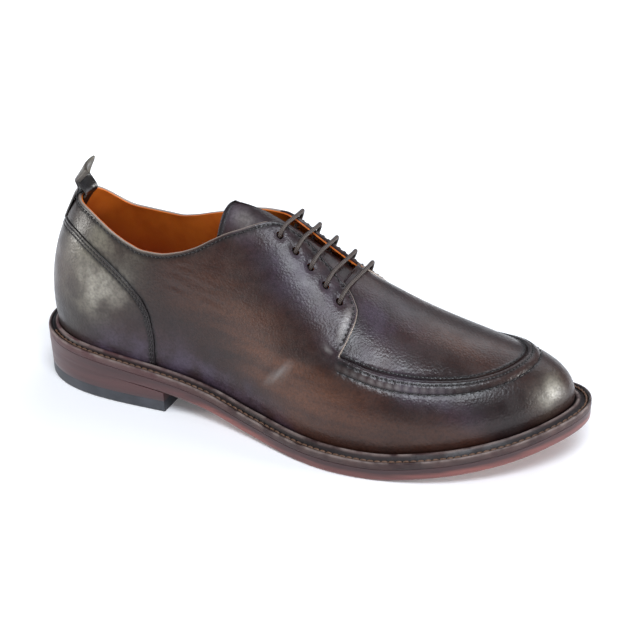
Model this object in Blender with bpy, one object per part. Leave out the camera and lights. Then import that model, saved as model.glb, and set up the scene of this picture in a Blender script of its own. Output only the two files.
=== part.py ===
"""Right-foot derby shoe: leather sole on a stacked heel, welt, hollow upper, tongue, lace bars, pull loop.

The shoe is worked out in millimetres with the back of the heel at x = 0, +X to the toe, +Y to the inner
side and the floor at z = 0. Objects are then placed in metres, centred over the floor.
"""
import bpy
import numpy as np
from mathutils import Vector
from mathutils.geometry import delaunay_2d_cdt

# Driving sizes in millimetres
LENGTH = 302.0         # outsole, back of the heel to the toe
BALL_WIDTH = 107.0     # outsole across the ball
INSTEP_HEIGHT = 108.5  # crest above the floor at the top eyelets
HEEL_HEIGHT = 17.5     # underside of the outsole above the floor at the back
TOE_SPRING = 17.5      # underside above the floor at the toe
HEEL_LENGTH = 84.0     # back of the heel to its breast
LIFT_THICK = 6.4
OUTSOLE_THICK = 6.2
WELT_THICK = 4.0
INSOLE_RISE = 3.0      # insole above the feather line
JOIN = 0.3             # space left between neighbouring pieces

# Leather of the upper: side panels are the reference level
WALL = 2.3             # side panel with its lining
PLUG_DROP = 0.9        # plug below the side panels
COUNTER_RISE = 0.6     # counter above the side panels
BAND_RISE = 1.1        # raised band along the apron seam
BAND_WIDTH = 7.0
STEP_RAMP = 0.6        # width over which one level turns into the next
EYELET_DIAMETER = 4.2
EYELET_SIDES = 10
LACE_DIAMETER = 2.4
TONGUE_THICK = 1.8
TONGUE_EASE = 0.9      # extra room between the facings and the tongue
LOOP_WIDTH = 13.0
LOOP_THICK = 1.2
LOOP_EASE = 0.7        # extra room between strap and heel
LOOP_PINCH = (-2.9, 4.6)  # where the legs close, forward of and above the back of the collar
LOOP_TOP = (3.2, 14.6)  # tip of the closed part, from the same point
LOOP_SLACK = 1.8       # outer leg stands off the collar by this
LOOP_TILT = 0.23       # rise of the tip toward the inner side, for its width
COLLAR_GIRTH = 80.8    # collar above the feather line at the back, along the leather
LOOP_FOOT_GIRTH = 61.0  # foot of the loop, just above the counter seam

# Mesh steps in millimetres
RIM_COUNT = 112        # points round the sole and the feather line
SEAM_STEP = 5.5
LATTICE_STEP = 8.5
CAP_STEP = 14.0
HEEL_ARC_COUNT = 49
BREAST_COUNT = 10
LEG_COUNT = 10
BLADE_COUNT = 5
LOOP_ROWS = 5
TONGUE_ROWS = 14
TONGUE_COLUMNS = 11
LACE_COUNT = 9

# Tables are in percent: stations of LENGTH, widths of BALL_WIDTH, heights of INSTEP_HEIGHT.

# Outsole outline: station, outer half-width, inner half-width
OUTLINE = (
    (2, 17.4, 17.4),
    (7, 29.0, 29.4),
    (17, 35.0, 34.6),
    (26, 35.0, 32.7),
    (38, 36.4, 29.4),
    (50, 45.6, 32.5),
    (61, 53.6, 41.4),
    (71, 52.4, 47.6),
    (81, 44.8, 49.4),
    (89, 32.0, 44.2),
    (96, 13.4, 34.0),
)
TOE_SWING = 13.0       # toe tip toward the inner side, of BALL_WIDTH

# Underside of the outsole: station, part of HEEL_HEIGHT, part of TOE_SPRING
UNDERSIDE = (
    (0, 100, 0),
    (13, 92, 0),
    (26, 72, 0),
    (35, 48, 0),
    (45, 14, 0),
    (56, 0, 0),
    (68, 0, 0),
    (79, 0, 20),
    (90, 0, 52),
    (100, 0, 100),
)

# Welt: station, reach beyond the upper in millimetres
WELT_REACH = ((0, 7.0), (40, 7.5), (63, 8.5), (100, 9.0))

# Edges from below upward in millimetres: inset from the outsole outline, height
OUTSOLE_EDGE = ((1.2, 0.0), (0.5, 0.7), (0.3, 5.6), (0.7, OUTSOLE_THICK))
LIFT_EDGE = ((2.0, 0.0), (1.4, 0.6), (1.2, LIFT_THICK))
HEEL_INSET = (1.2, 0.7)
INSOLE_INSET = 3.5     # insole edge in from the feather line

# Section of the welt in millimetres: part of its reach, further inset, height above its underside. It runs
# over the lip, the stitch groove and the raised bead to the flange below the upper
WELT_SECTION = (
    (0, 0.3, 0.0),
    (0, 0.0, 0.8),
    (0, 0.0, 3.2),
    (0, 0.6, WELT_THICK),
    (0, 2.0, WELT_THICK),
    (0, 2.7, 2.9),
    (0, 3.4, WELT_THICK),
    (1, -3.3, 5.9),
    (1, -2.1, 5.9),
    (1, -1.5, WELT_THICK),
    (1, 3.0, WELT_THICK),
    (1, 3.0, 0.0),
)

# Crest of the closed last, which the collar later cuts open: station, height
CREST = (
    (14, 112.0),
    (30, 114.0),
    (39, 110.0),
    (47, 100.0),
    (53, 89.0),
    (60, 76.0),
    (70, 62.8),
    (78, 55.2),
    (85.5, 50.6),
)
CREST_SWING = 7.0      # crest toward the inner side at its toe end, of BALL_WIDTH

# Walls from feather line to crest: feather station, crest station, lean at the feather in degrees (outer,
# inner), rise of the lower handle in percent of the height (outer, inner), reach of the upper handle in
# percent of the half-width (outer, inner)
WALLS = (
    (2, 14, 12, 12, 56, 56, 38, 38),
    (13, 20, 6, 4, 60, 60, 38, 38),
    (26, 29, 2, -2, 55, 55, 45, 45),
    (40, 40.5, 6, 2, 45, 50, 55, 62),
    (53, 53, 10, 6, 45, 50, 58, 66),
    (66, 65.5, 10, 8, 55, 60, 58, 60),
    (79, 76, 10, 10, 60, 60, 55, 56),
    (91, 83, 10, 10, 60, 60, 55, 55),
    (98, 85.5, 10, 10, 60, 60, 55, 55),
)

# Seams on the flat pattern: station along the crest, distance out from it on the outer and inner side
TOPLINE = (
    (4.0, 0.0, 0.0),
    (4.9, 7.0, 5.5),
    (5.7, 11.5, 11.5),
    (6.5, 14.4, 20.5),
    (7.4, 16.9, 27.0),
    (8.9, 20.6, 32.2),
    (10.8, 25.2, 34.8),
    (14, 32.1, 36.7),
    (17, 37.2, 37.2),
    (20, 40.6, 37.2),
    (23.6, 41.7, 35.3),
    (27.5, 40.3, 32.0),
    (31, 36.9, 28.5),
    (34.4, 31.1, 24.3),
    (37.4, 25.4, 20.3),
    (40, 20.9, 16.8),
    (42.5, 15.1, 13.0),
    (44.4, 10.3, 9.5),
    (45.8, 7.6, 6.5),
    (47.5, 6.2, 4.8),
    (51, 6.0, 4.3),
    (54, 8.4, 4.8),
    (56.4, 10.4, 6.2),
    (58.3, 12.8, 8.0),
)
FACING_FRONT = (
    (58.3, 12.8, 8.0),
    (60, 15.5, 10.5),
    (61.2, 18.8, 14.5),
    (62.2, 23.0, 20.5),
    (62.5, 29.0, 28.5),
    (62.3, 37.0, 37.0),
    (61.6, 47.5, 47.5),
)
APRON = (
    (61.6, 47.5, 47.5),
    (67.4, 45.8, 45.8),
    (73.4, 41.2, 41.2),
    (79.3, 33.8, 33.8),
    (83.4, 26.5, 26.5),
    (87.2, 15.3, 15.3),
    (88.9, 5.0, 5.0),
    (89.2, 0.0, 0.0),
)
COUNTER = (
    (-1.5, 0.0, 0.0),
    (0.5, 12.0, 12.0),
    (6.1, 30.0, 30.0),
    (9.9, 40.2, 40.2),
    (13.3, 48.7, 48.7),
    (16.6, 58.3, 58.3),
    (18.5, 64.8, 64.8),
    (19.5, 72.6, 72.6),
    (19.6, 81.0, 81.0),
    (18.4, 96.0, 96.0),
    (17.6, 106.0, 106.0),
)
EYELETS = (
    (46.8, 13.8, 12.5),
    (50.0, 15.8, 12.6),
    (53.0, 17.7, 13.2),
    (56.1, 20.6, 15.0),
    (59.0, 23.4, 18.0),
)
# Tongue: station, half-width, sink of its middle in millimetres, setback of its edges in stations
TONGUE = (
    (36.5, 29.0, 7.0, 2.2),
    (40, 27.0, 6.0, 1.6),
    (46, 23.0, 4.0, 0.6),
    (55, 21.0, 2.0, 0.0),
    (63.5, 21.0, 0.0, 0.0),
)


def smooth(rows):
    """Monotone cubic through the rows: the first column is the station, the rest are values."""
    rows = np.asarray(rows, float)
    x, y = rows[:, 0], rows[:, 1:]
    step = np.diff(x)[:, None]
    rate = np.diff(y, axis=0) / step
    before, after = rate[:-1], rate[1:]
    same = before * after > 0
    middle = np.where(same, 2 * before * after / np.where(same, before + after, 1.0), 0.0)
    slope = np.vstack([rate[:1], middle, rate[-1:]])

    def at(station):
        q = np.clip(station, x[0], x[-1])
        i = np.clip(np.searchsorted(x, q, side="right") - 1, 0, len(x) - 2)
        h = step[i, 0][..., None]
        s = (q - x[i])[..., None] / h
        turn = s * (1 - s) * h * (slope[i] * (1 - s) - slope[i + 1] * s)
        return y[i] + (y[i + 1] - y[i]) * s * s * (3 - 2 * s) + turn

    return at


def closed_curve(knots, points):
    """Periodic cubic spline through the points at rising knots from 0 to 1."""
    count = len(points)
    knots = np.append(knots, 1.0)
    gap = np.diff(knots)
    rate = (np.roll(points, -1, axis=0) - points) / gap[:, None]
    system = np.zeros((count, count))
    for i in range(count):
        system[i, i - 1] = gap[i - 1]
        system[i, i] = 2 * (gap[i - 1] + gap[i])
        system[i, (i + 1) % count] = gap[i]
    bend = np.linalg.solve(system, 6 * (rate - np.roll(rate, 1, axis=0)))

    def at(t):
        t = np.mod(t, 1.0)
        i = np.clip(np.searchsorted(knots, t, side="right") - 1, 0, count - 1)
        j = (i + 1) % count
        h = gap[i][..., None]
        b = (t - knots[i])[..., None] / h
        a = 1 - b
        turn = ((a**3 - a) * bend[i] + (b**3 - b) * bend[j]) * h * h / 6
        return a * points[i] + b * points[j] + turn

    return at


def lengths(points):
    """Distance from the first point along a line of points."""
    return np.append(0.0, np.cumsum(np.linalg.norm(np.diff(points, axis=0), axis=1)))


def unit(vectors):
    return vectors / np.linalg.norm(vectors, axis=-1, keepdims=True)


# Last and sole

def sole_outline():
    """Closed outsole edge: 0 at the heel, the outer side to 0.5 at the toe, then back on the inner side."""
    rows = np.array(OUTLINE, float) * (LENGTH, BALL_WIDTH, BALL_WIDTH) / 100
    heel = np.zeros((1, 2))
    toe = np.array([[LENGTH, TOE_SWING * BALL_WIDTH / 100]])
    outer = np.vstack([heel, rows[:, :2] * (1, -1), toe])
    inner = np.vstack([toe, rows[::-1, ::2], heel])
    halves = [lengths(side) / lengths(side)[-1] / 2 for side in (outer, inner)]
    knots = np.append(halves[0][:-1], 0.5 + halves[1][:-1])
    return closed_curve(knots, np.vstack([outer[:-1], inner[:-1]]))


outsole_edge = sole_outline()
underside_at = smooth(UNDERSIDE)
welt_reach_at = smooth(WELT_REACH)
crest_at = smooth(CREST)
wall_at = smooth(WALLS)
SOLE_THICK = OUTSOLE_THICK + WELT_THICK + 2 * JOIN


def under(x):
    """Height of the outsole's underside."""
    heel, toe = np.moveaxis(underside_at(x * 100 / LENGTH), -1, 0)
    return (heel * HEEL_HEIGHT + toe * TOE_SPRING) / 100


def edge(t, inset):
    """Plan point on the outsole edge moved in by the inset, and the outward direction there."""
    nudge = 1e-4
    along = unit(outsole_edge(t + nudge) - outsole_edge(t - nudge))
    out = np.stack([along[..., 1], -along[..., 0]], -1)
    return outsole_edge(t) - out * np.asarray(inset)[..., None], out


def welt_reach(t):
    return welt_reach_at(outsole_edge(t)[..., 0] * 100 / LENGTH)[..., 0]


def feather(t):
    """Line where the upper meets the welt, and the outward direction there."""
    plan, out = edge(t, welt_reach(t))
    return np.concatenate([plan, under(plan[..., :1]) + SOLE_THICK], -1), out


def crest(x):
    first = CREST[0][0] * LENGTH / 100
    last = CREST[-1][0] * LENGTH / 100
    y = CREST_SWING * BALL_WIDTH / 100 * np.clip((x - first) / (last - first), 0, None)
    z = crest_at(x * 100 / LENGTH)[..., 0] * INSTEP_HEIGHT / 100
    return np.stack([x, y, z], -1)


def wall_handles(t):
    """Four Bezier points of the wall from feather line to crest, and the way out from the crest in plan."""
    foot, out = feather(t)
    row = wall_at(foot[..., 0] * 100 / LENGTH)
    top = crest(row[..., 0] * LENGTH / 100)
    inner = np.mod(t, 1.0) > 0.5
    lean, rise, crown = (np.where(inner, row[..., k + 1], row[..., k]) for k in (1, 3, 5))
    lean = np.radians(lean)[..., None]
    across = foot[..., :2] - top[..., :2]
    reach = np.linalg.norm(across, axis=-1, keepdims=True)
    spread = across / reach
    half_step = 0.5
    slope = (crest(top[..., 0] + half_step) - crest(top[..., 0] - half_step))[..., 2:]
    upward = np.concatenate([out * np.sin(lean), np.cos(lean)], -1)
    sideways = np.concatenate([spread, slope * spread[..., :1]], -1)
    height = top[..., 2:] - foot[..., 2:]
    low = foot + upward * height * rise[..., None] / 100
    high = top + sideways * reach * crown[..., None] / 100
    return np.stack([foot, low, high, top], -2), spread


def bezier(handles, w):
    a, b, c, d = np.moveaxis(handles[..., None, :, :], -2, 0)
    w = w[..., None]
    return (1 - w) ** 3 * a + 3 * w * (1 - w) ** 2 * b + 3 * w * w * (1 - w) * c + w**3 * d


W_STEPS = np.linspace(0, 1, 41)


def wall_lengths(handles):
    """Girth from the feather line at each of the wall's even parameter steps."""
    points = bezier(handles, np.broadcast_to(W_STEPS, (len(handles), len(W_STEPS))))
    steps = np.linalg.norm(np.diff(points, axis=1), axis=2)
    return np.concatenate([np.zeros((len(handles), 1)), np.cumsum(steps, axis=1)], 1)


def wall_point(t, girth):
    """Points on the last at loop positions t, girth up from the feather line."""
    handles, _ = wall_handles(t)
    table = wall_lengths(handles)
    w = np.array([np.interp(g, row, W_STEPS) for g, row in zip(girth, table)])
    return bezier(handles, w[:, None])[:, 0]


# Flat pattern: each wall unrolled outward from the crest line in plan

PATTERN_T = (np.arange(1440) + 0.5) / 1440
pattern_handles, PATTERN_SPREAD = wall_handles(PATTERN_T)
PATTERN_TOP = pattern_handles[:, 3, :2]
PATTERN_GIRTH = wall_lengths(pattern_handles)[:, -1]


def feather_flat(t):
    """Feather line on the flat pattern."""
    handles, spread = wall_handles(t)
    return handles[:, 3, :2] + spread * wall_lengths(handles)[:, -1:]


def on_last(flat):
    """Carry points of the flat pattern onto the last."""
    offset = flat[:, None, :] - PATTERN_TOP
    along = np.sum(offset * PATTERN_SPREAD, -1)
    aside = offset[..., 0] * PATTERN_SPREAD[:, 1] - offset[..., 1] * PATTERN_SPREAD[:, 0]
    behind = along < -0.5
    best = np.argmin(np.abs(aside) + behind * LENGTH, axis=1)
    rows = np.arange(len(flat))
    count = len(PATTERN_T)
    after = (best + 1) % count
    crosses = aside[rows, best] * aside[rows, after] <= 0
    other = np.where(crosses, after, (best - 1) % count)
    gap = aside[rows, best] - aside[rows, other]
    share = np.clip(aside[rows, best] / np.where(gap == 0, 1.0, gap), 0, 1)
    turn = np.mod(PATTERN_T[other] - PATTERN_T[best] + 0.5, 1.0) - 0.5
    t = PATTERN_T[best] + share * turn
    depth = along[rows, best] * (1 - share) + along[rows, other] * share
    girth = PATTERN_GIRTH[best] * (1 - share) + PATTERN_GIRTH[other] * share
    return wall_point(t, girth - depth)


def flat_point(station, out):
    """Pattern point at a station, out from the crest line; negative is the outer side. Both in percent."""
    x = np.asarray(station, float) * LENGTH / 100
    y = crest(x)[..., 1] + np.asarray(out, float) * BALL_WIDTH / 100
    return np.stack([x, y], -1)


def seam(rows, side, step):
    """Evenly stepped pattern line through a seam table; side is -1 for the outer half, 1 for the inner."""
    rows = np.array(rows, float)
    points = flat_point(rows[:, 0], side * rows[:, 1 if side < 0 else 2])
    run = lengths(points)
    line = smooth(np.column_stack([run, points]))
    return line(np.linspace(0, run[-1], max(2, round(run[-1] / step) + 1)))


def both_sides(rows, step):
    """A seam that runs from the outer side through its last row to the inner side."""
    outer = seam(rows, -1, step)
    inner = seam(rows, 1, step)
    return np.vstack([outer, inner[::-1][1:]])


def sidestep(line, distance):
    """The line moved to its left."""
    along = unit(np.gradient(line, axis=0))
    return line + np.column_stack([-along[:, 1], along[:, 0]]) * distance


def inside(points, loop):
    """Which points lie in the closed loop."""
    a, b = loop, np.roll(loop, -1, axis=0)
    x, y = points[:, :1], points[:, 1:]
    spans = (a[:, 1] > y) != (b[:, 1] > y)
    rise = np.where(a[:, 1] == b[:, 1], 1.0, b[:, 1] - a[:, 1])
    cross = a[:, 0] + (y - a[:, 1]) / rise * (b[:, 0] - a[:, 0])
    return np.sum(spans & (x < cross), axis=1) % 2 == 1


def distance_to(points, line):
    """Shortest distance from each point to a line of points."""
    a = line[:-1]
    run = line[1:] - a
    share = np.sum((points[:, None] - a) * run, -1) / np.sum(run * run, -1)
    foot = a + run * np.clip(share, 0, 1)[..., None]
    return np.linalg.norm(points[:, None] - foot, axis=-1).min(axis=1)


def triangulate(loops, lines, step):
    """Triangles over the first loop less the other loops, with the lines as edges and a lattice between."""
    points, edges = [], []
    for line, closed in [(loop, True) for loop in loops] + [(line, False) for line in lines]:
        start = len(points)
        points.extend(line)
        count = len(line)
        edges.extend((start + i, start + (i + 1) % count) for i in range(count if closed else count - 1))
    points = np.array(points)
    low, high = loops[0].min(axis=0), loops[0].max(axis=0)
    row_step = step * 0.866
    lattice = []
    for row, y in enumerate(np.arange(low[1], high[1], row_step)):
        lattice.extend((x, y) for x in np.arange(low[0] + row % 2 * step / 2, high[0], step))
    lattice = np.array(lattice)
    clear = np.linalg.norm(lattice[:, None] - points, axis=-1).min(axis=1) > step * 0.55
    lattice = lattice[clear & inside(lattice, loops[0])]
    every = [Vector(p) for p in np.vstack([points, lattice])]
    found, _, faces, *_ = delaunay_2d_cdt(every, edges, [], 0, 1e-4)
    flat = np.array([v[:] for v in found])
    faces = np.array(faces)
    middle = flat[faces].mean(axis=1)
    kept = inside(middle, loops[0])
    for hole in loops[1:]:
        kept &= ~inside(middle, hole)
    used, faces = np.unique(faces[kept], return_inverse=True)
    return flat[used], faces.reshape(-1, 3)


def outline_edges(faces):
    """Directed edges that only one triangle has."""
    directed = {(int(f[i]), int(f[i - 2])) for f in faces for i in range(3)}
    return [(a, b) for a, b in directed if (b, a) not in directed]


def normals(points, faces):
    """Area-weighted vertex normals."""
    corner = points[faces]
    face_normal = np.cross(corner[:, 1] - corner[:, 0], corner[:, 2] - corner[:, 0])
    total = np.zeros_like(points)
    for k in range(3):
        np.add.at(total, faces[:, k], face_normal)
    return unit(total)


# Blender objects

for old in list(bpy.data.objects):
    bpy.data.objects.remove(old)

shoe = bpy.data.objects.new("derby_shoe", None)
bpy.context.collection.objects.link(shoe)
rim = outsole_edge(np.arange(RIM_COUNT) / RIM_COUNT)
CENTRE = np.append((rim.min(axis=0) + rim.max(axis=0)) / 2, 0.0)
MM = 0.001


def leather(name, colour, roughness):
    material = bpy.data.materials.new(name)
    material.use_nodes = True
    shader = material.node_tree.nodes["Principled BSDF"]
    shader.inputs["Base Color"].default_value = (*colour, 1.0)
    shader.inputs["Roughness"].default_value = roughness
    shader.inputs["Metallic"].default_value = 0.0
    return material


def place(name, data, material):
    data.materials.append(material)
    piece = bpy.data.objects.new(name, data)
    piece.parent = shoe
    bpy.context.collection.objects.link(piece)
    return piece


def solid(name, points, faces, material):
    """One mesh object from points in millimetres; four-cornered faces are split, so that each is flat."""
    flat_faces = []
    for face in faces:
        corners = [int(i) for i in face]
        flat_faces.extend([corners[0], corners[k], corners[k + 1]] for k in range(1, len(corners) - 1))
    mesh = bpy.data.meshes.new(name)
    mesh.from_pydata(((points - CENTRE) * MM).tolist(), [], flat_faces)
    mesh.shade_smooth()
    mesh.set_sharp_from_angle(angle=np.radians(35))
    return place(name, mesh, material)


def band_faces(count, first, second):
    """Quads between two closed rings of points, given by the index of their first points."""
    return [(first + i, first + (i + 1) % count, second + (i + 1) % count, second + i) for i in range(count)]


def slab(name, rings, floor_height, top_height, material):
    """Solid between stacked plan rings of (N, 3) points, closed below and above by filled caps."""
    count = len(rings[0])
    points = list(np.vstack(rings))
    faces = []
    for k in range(len(rings) - 1):
        faces += band_faces(count, k * count, (k + 1) * count)
    for ring, first, height, flip in (
        (rings[0], 0, floor_height, True),
        (rings[-1], (len(rings) - 1) * count, top_height, False),
    ):
        flat, triangles = triangulate([ring[:, :2]], [], CAP_STEP)
        near = np.linalg.norm(flat[:, None] - ring[None, :, :2], axis=-1)
        number = np.zeros(len(flat), int)
        for i, gaps in enumerate(near):
            if gaps.min() < 1e-3:
                number[i] = first + gaps.argmin()
            else:
                number[i] = len(points)
                points.append((*flat[i], height(flat[i, 0])))
        triangles = number[triangles]
        faces += (triangles[:, ::-1] if flip else triangles).tolist()
    return solid(name, np.array(points), faces, material)


def ring(t, inset, height):
    """Ring round the sole: inset from the outsole edge, height above the underside."""
    plan, _ = edge(t, inset)
    return np.column_stack([plan, under(plan[:, 0]) + height])


RIM_T = np.arange(RIM_COUNT) / RIM_COUNT


def make_outsole():
    rings = [ring(RIM_T, np.full(RIM_COUNT, inset), height) for inset, height in OUTSOLE_EDGE]
    material = leather("outsole_leather", (0.16, 0.045, 0.03), 0.4)
    slab("outsole", rings, under, lambda x: under(x) + OUTSOLE_THICK, material)


def make_welt():
    """Closed ring: lip, stitch groove, raised bead beside the upper, flange below the upper."""
    reach = welt_reach(RIM_T)
    base = OUTSOLE_THICK + JOIN
    rings = [ring(RIM_T, part * reach + inset, base + height) for part, inset, height in WELT_SECTION]
    faces = []
    for k in range(len(rings)):
        faces += band_faces(RIM_COUNT, k * RIM_COUNT, (k + 1) % len(rings) * RIM_COUNT)
    solid("welt", np.vstack(rings), faces, leather("welt_leather", (0.035, 0.02, 0.016), 0.45))


def make_insole():
    """Insole board with its filler, from the outsole up into the upper."""
    inset = welt_reach(RIM_T) + INSOLE_INSET
    low = OUTSOLE_THICK + JOIN
    high = SOLE_THICK + INSOLE_RISE
    rings = [ring(RIM_T, inset, low), ring(RIM_T, inset, high)]
    material = leather("insole_leather", (0.45, 0.2, 0.06), 0.6)
    slab("insole", rings, lambda x: under(x) + low, lambda x: under(x) + high, material)


def heel_loop(inset):
    """Heel outline: the outsole edge back from the breast, closed by the straight breast."""
    t = np.linspace(-0.25, 0.25, 801)
    plan, _ = edge(t, np.full(len(t), inset))
    behind = plan[plan[:, 0] < HEEL_LENGTH]
    run = lengths(behind)
    arc = smooth(np.column_stack([run, behind]))(np.linspace(0, run[-1], HEEL_ARC_COUNT))
    arc[[0, -1], 0] = HEEL_LENGTH
    breast = np.linspace(arc[-1], arc[0], BREAST_COUNT)[1:-1]
    return np.vstack([arc, breast])


def make_heel():
    """Stacked leather block under the outsole and the rubber top lift it stands on."""
    bottom, top = heel_loop(HEEL_INSET[0]), heel_loop(HEEL_INSET[1])
    block_low = LIFT_THICK + JOIN
    rings = [
        np.column_stack([bottom, np.full(len(bottom), block_low)]),
        np.column_stack([top, under(top[:, 0]) - JOIN]),
    ]
    material = leather("heel_leather", (0.09, 0.035, 0.028), 0.35)
    slab("heel", rings, lambda x: block_low, lambda x: under(x) - JOIN, material)
    rings = [np.column_stack([heel_loop(inset), np.full(len(top), height)]) for inset, height in LIFT_EDGE]
    rubber = leather("heel_rubber", (0.03, 0.032, 0.04), 0.6)
    slab("heel_top_lift", rings, lambda x: 0.0, lambda x: LIFT_THICK, rubber)


# Upper

def plug_line(step):
    """Edge of the plug: down the outer facing, round the apron seam, up the inner facing."""
    halves = []
    for side in (-1, 1):
        front = seam(FACING_FRONT, side, step)
        halves.append((front, seam(APRON, side, step)))
    (outer_front, outer_apron), (inner_front, inner_apron) = halves
    return np.vstack([outer_front[:-1], outer_apron, inner_apron[::-1][1:], inner_front[::-1][1:]])


def upper_level(flat, plug, apron, counter, counter_loop):
    """Height of the leather above the side panels' level at pattern points."""
    from_plug = np.where(inside(flat, plug), -1, 1) * distance_to(flat, plug)
    plug_share = np.clip(0.5 - from_plug / STEP_RAMP, 0, 1)
    across_band = np.clip(distance_to(flat, apron) / BAND_WIDTH, 0, 1)
    fade = np.clip((flat[:, 0] - apron[0, 0]) / BAND_WIDTH, 0, 1)
    band = np.sin(np.pi * across_band) * (from_plug > 0) * fade
    from_counter = np.where(inside(flat, counter_loop), -1, 1) * distance_to(flat, counter)
    counter_share = np.clip(0.5 - from_counter / STEP_RAMP, 0, 1)
    return BAND_RISE * band - PLUG_DROP * plug_share + COUNTER_RISE * counter_share


def make_upper():
    topline = both_sides(TOPLINE[::-1], SEAM_STEP)
    eyelets = []
    turn = np.linspace(0, 2 * np.pi, EYELET_SIDES, endpoint=False)
    circle = np.column_stack([np.cos(turn), np.sin(turn)]) * EYELET_DIAMETER / 2
    for station, outer, inner in EYELETS:
        eyelets += [flat_point(station, -outer) + circle, flat_point(station, inner) + circle]
    plug = plug_line(SEAM_STEP)
    apron = both_sides(APRON, SEAM_STEP)
    counter = both_sides(COUNTER[::-1], SEAM_STEP)
    behind = np.array([[-LENGTH, counter[-1, 1]], [-LENGTH, counter[0, 1]]])
    counter_loop = np.vstack([counter, behind])
    half_ramp = STEP_RAMP / 2
    lines = [sidestep(plug, -half_ramp), sidestep(plug, half_ramp)]
    lines += [sidestep(counter, -half_ramp), sidestep(counter, half_ramp)]
    lines += [sidestep(apron, -BAND_WIDTH / 2), sidestep(apron, -BAND_WIDTH)]
    flat, faces = triangulate([feather_flat(RIM_T), topline, *eyelets], lines, LATTICE_STEP)
    base = on_last(flat)
    out = normals(base, faces)
    level = upper_level(flat, plug, apron, counter, counter_loop)
    skin = base + out * level[:, None]
    lining = base - out * WALL
    count = len(flat)
    rims = [(b, a, a + count, b + count) for a, b in outline_edges(faces)]
    every = faces.tolist() + (faces[:, ::-1] + count).tolist() + rims
    solid("upper", np.vstack([skin, lining]), every, leather("upper_leather", (0.06, 0.035, 0.025), 0.35))


def sheet(name, flat_grid, high, thick, material):
    """Solid sheet over a grid of pattern points, its upper face at the level high of each point."""
    rows, columns = flat_grid.shape[:2]
    base = on_last(flat_grid.reshape(-1, 2))
    number = np.arange(rows * columns).reshape(rows, columns)
    a, b, c, d = number[:-1, :-1], number[1:, :-1], number[1:, 1:], number[:-1, 1:]
    faces = np.concatenate([np.stack([a, b, c], -1).reshape(-1, 3), np.stack([a, c, d], -1).reshape(-1, 3)])
    out = normals(base, faces)
    count = len(base)
    rims = [(q, p, p + count, q + count) for p, q in outline_edges(faces)]
    every = faces.tolist() + (faces[:, ::-1] + count).tolist() + rims
    skin = base + out * high
    return solid(name, np.vstack([skin, skin - out * thick]), every, material)


def make_tongue():
    station = np.linspace(TONGUE[0][0], TONGUE[-1][0], TONGUE_ROWS)
    half, sink, setback = smooth(TONGUE)(station).T[..., None]
    across = np.linspace(-1, 1, TONGUE_COLUMNS)
    grid = flat_point(station[:, None] - setback * across**2, half * across)
    high = -WALL - JOIN - TONGUE_EASE - sink * (1 - across**2)
    material = leather("tongue_leather", (0.07, 0.04, 0.03), 0.45)
    sheet("tongue", grid, high.reshape(-1, 1), TONGUE_THICK, material)


def loop_section(y):
    """Closed side view of the strap at distance y from the middle of the heel, as (x, z) points.

    It runs up the outer leg and the rear of the closed part to the tip, down the front and the inner leg,
    then up and down the gap between the legs.
    """
    girth = np.linspace(LOOP_FOOT_GIRTH, COLLAR_GIRTH, 5)
    nudge = np.full(len(girth), 0.005)
    t = -y * nudge / wall_point(-nudge, girth)[:, 1]
    back = wall_point(t, girth)[:, [0, 2]]
    along = unit(np.gradient(back, axis=0))
    out = np.column_stack([-along[:, 1], along[:, 0]])
    outside = COUNTER_RISE + JOIN + LOOP_EASE + LOOP_SLACK * np.linspace(0, 1, len(girth)) ** 2
    within = np.full(len(girth), WALL + JOIN + LOOP_EASE)
    pinch = back[-1] + LOOP_PINCH
    tip = back[-1] + LOOP_TOP + (0.0, LOOP_TILT * y)
    lean = unit(tip - pinch)
    rear = np.array([-lean[1], lean[0]]) * LOOP_THICK

    def leg(distance, end):
        path = np.vstack([back + out * distance[:, None], end])
        run = lengths(path)
        return smooth(np.column_stack([run, path]))(np.linspace(0, run[-1], LEG_COUNT))

    blade = np.linspace(pinch, tip - lean * LOOP_THICK, BLADE_COUNT)[1:]
    up = np.vstack([leg(outside + LOOP_THICK, pinch + rear), blade + rear])
    down = np.vstack([leg(-within - LOOP_THICK, pinch - rear + lean * LOOP_THICK), blade - rear])[::-1]
    gap = np.vstack([leg(-within, pinch), leg(outside, pinch)[-2::-1]])
    return np.vstack([up, tip, down, gap])


def loop_cells(count):
    """Faces that fill one side view of the strap, in its own direction."""
    top = LEG_COUNT + BLADE_COUNT - 1
    closed = LEG_COUNT - 1
    front = 2 * top
    pinch = front + LEG_COUNT
    cells = []
    for i in range(closed):
        cells.append((i, i + 1, count - 2 - i, count - 1 - i))
        cells.append((front - i - 1, front - i, front + 1 + i, front + 2 + i))
    cells.append((closed, closed + 1, pinch))
    cells.append((closed + 1, front - closed - 1, pinch))
    cells.append((front - closed - 1, front - closed, pinch))
    for i in range(closed + 1, top - 1):
        cells.append((i, i + 1, front - i - 1, front - i))
    cells.append((top - 1, top, top + 1))
    return cells


def make_pull_loop():
    """Strap folded over the back of the collar, sewn outside and inside, its legs closed above it."""
    rings = []
    for y in np.linspace(-0.5, 0.5, LOOP_ROWS) * LOOP_WIDTH:
        x, z = loop_section(y).T
        rings.append(np.column_stack([x, np.full(len(x), y), z]))
    count = len(rings[0])
    faces = []
    for k in range(len(rings) - 1):
        faces += band_faces(count, k * count, (k + 1) * count)
    last = (len(rings) - 1) * count
    for cell in loop_cells(count):
        faces.append(cell[::-1])
        faces.append(tuple(last + k for k in cell))
    solid("pull_loop", np.vstack(rings), faces, leather("loop_leather", (0.06, 0.035, 0.025), 0.45))


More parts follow.
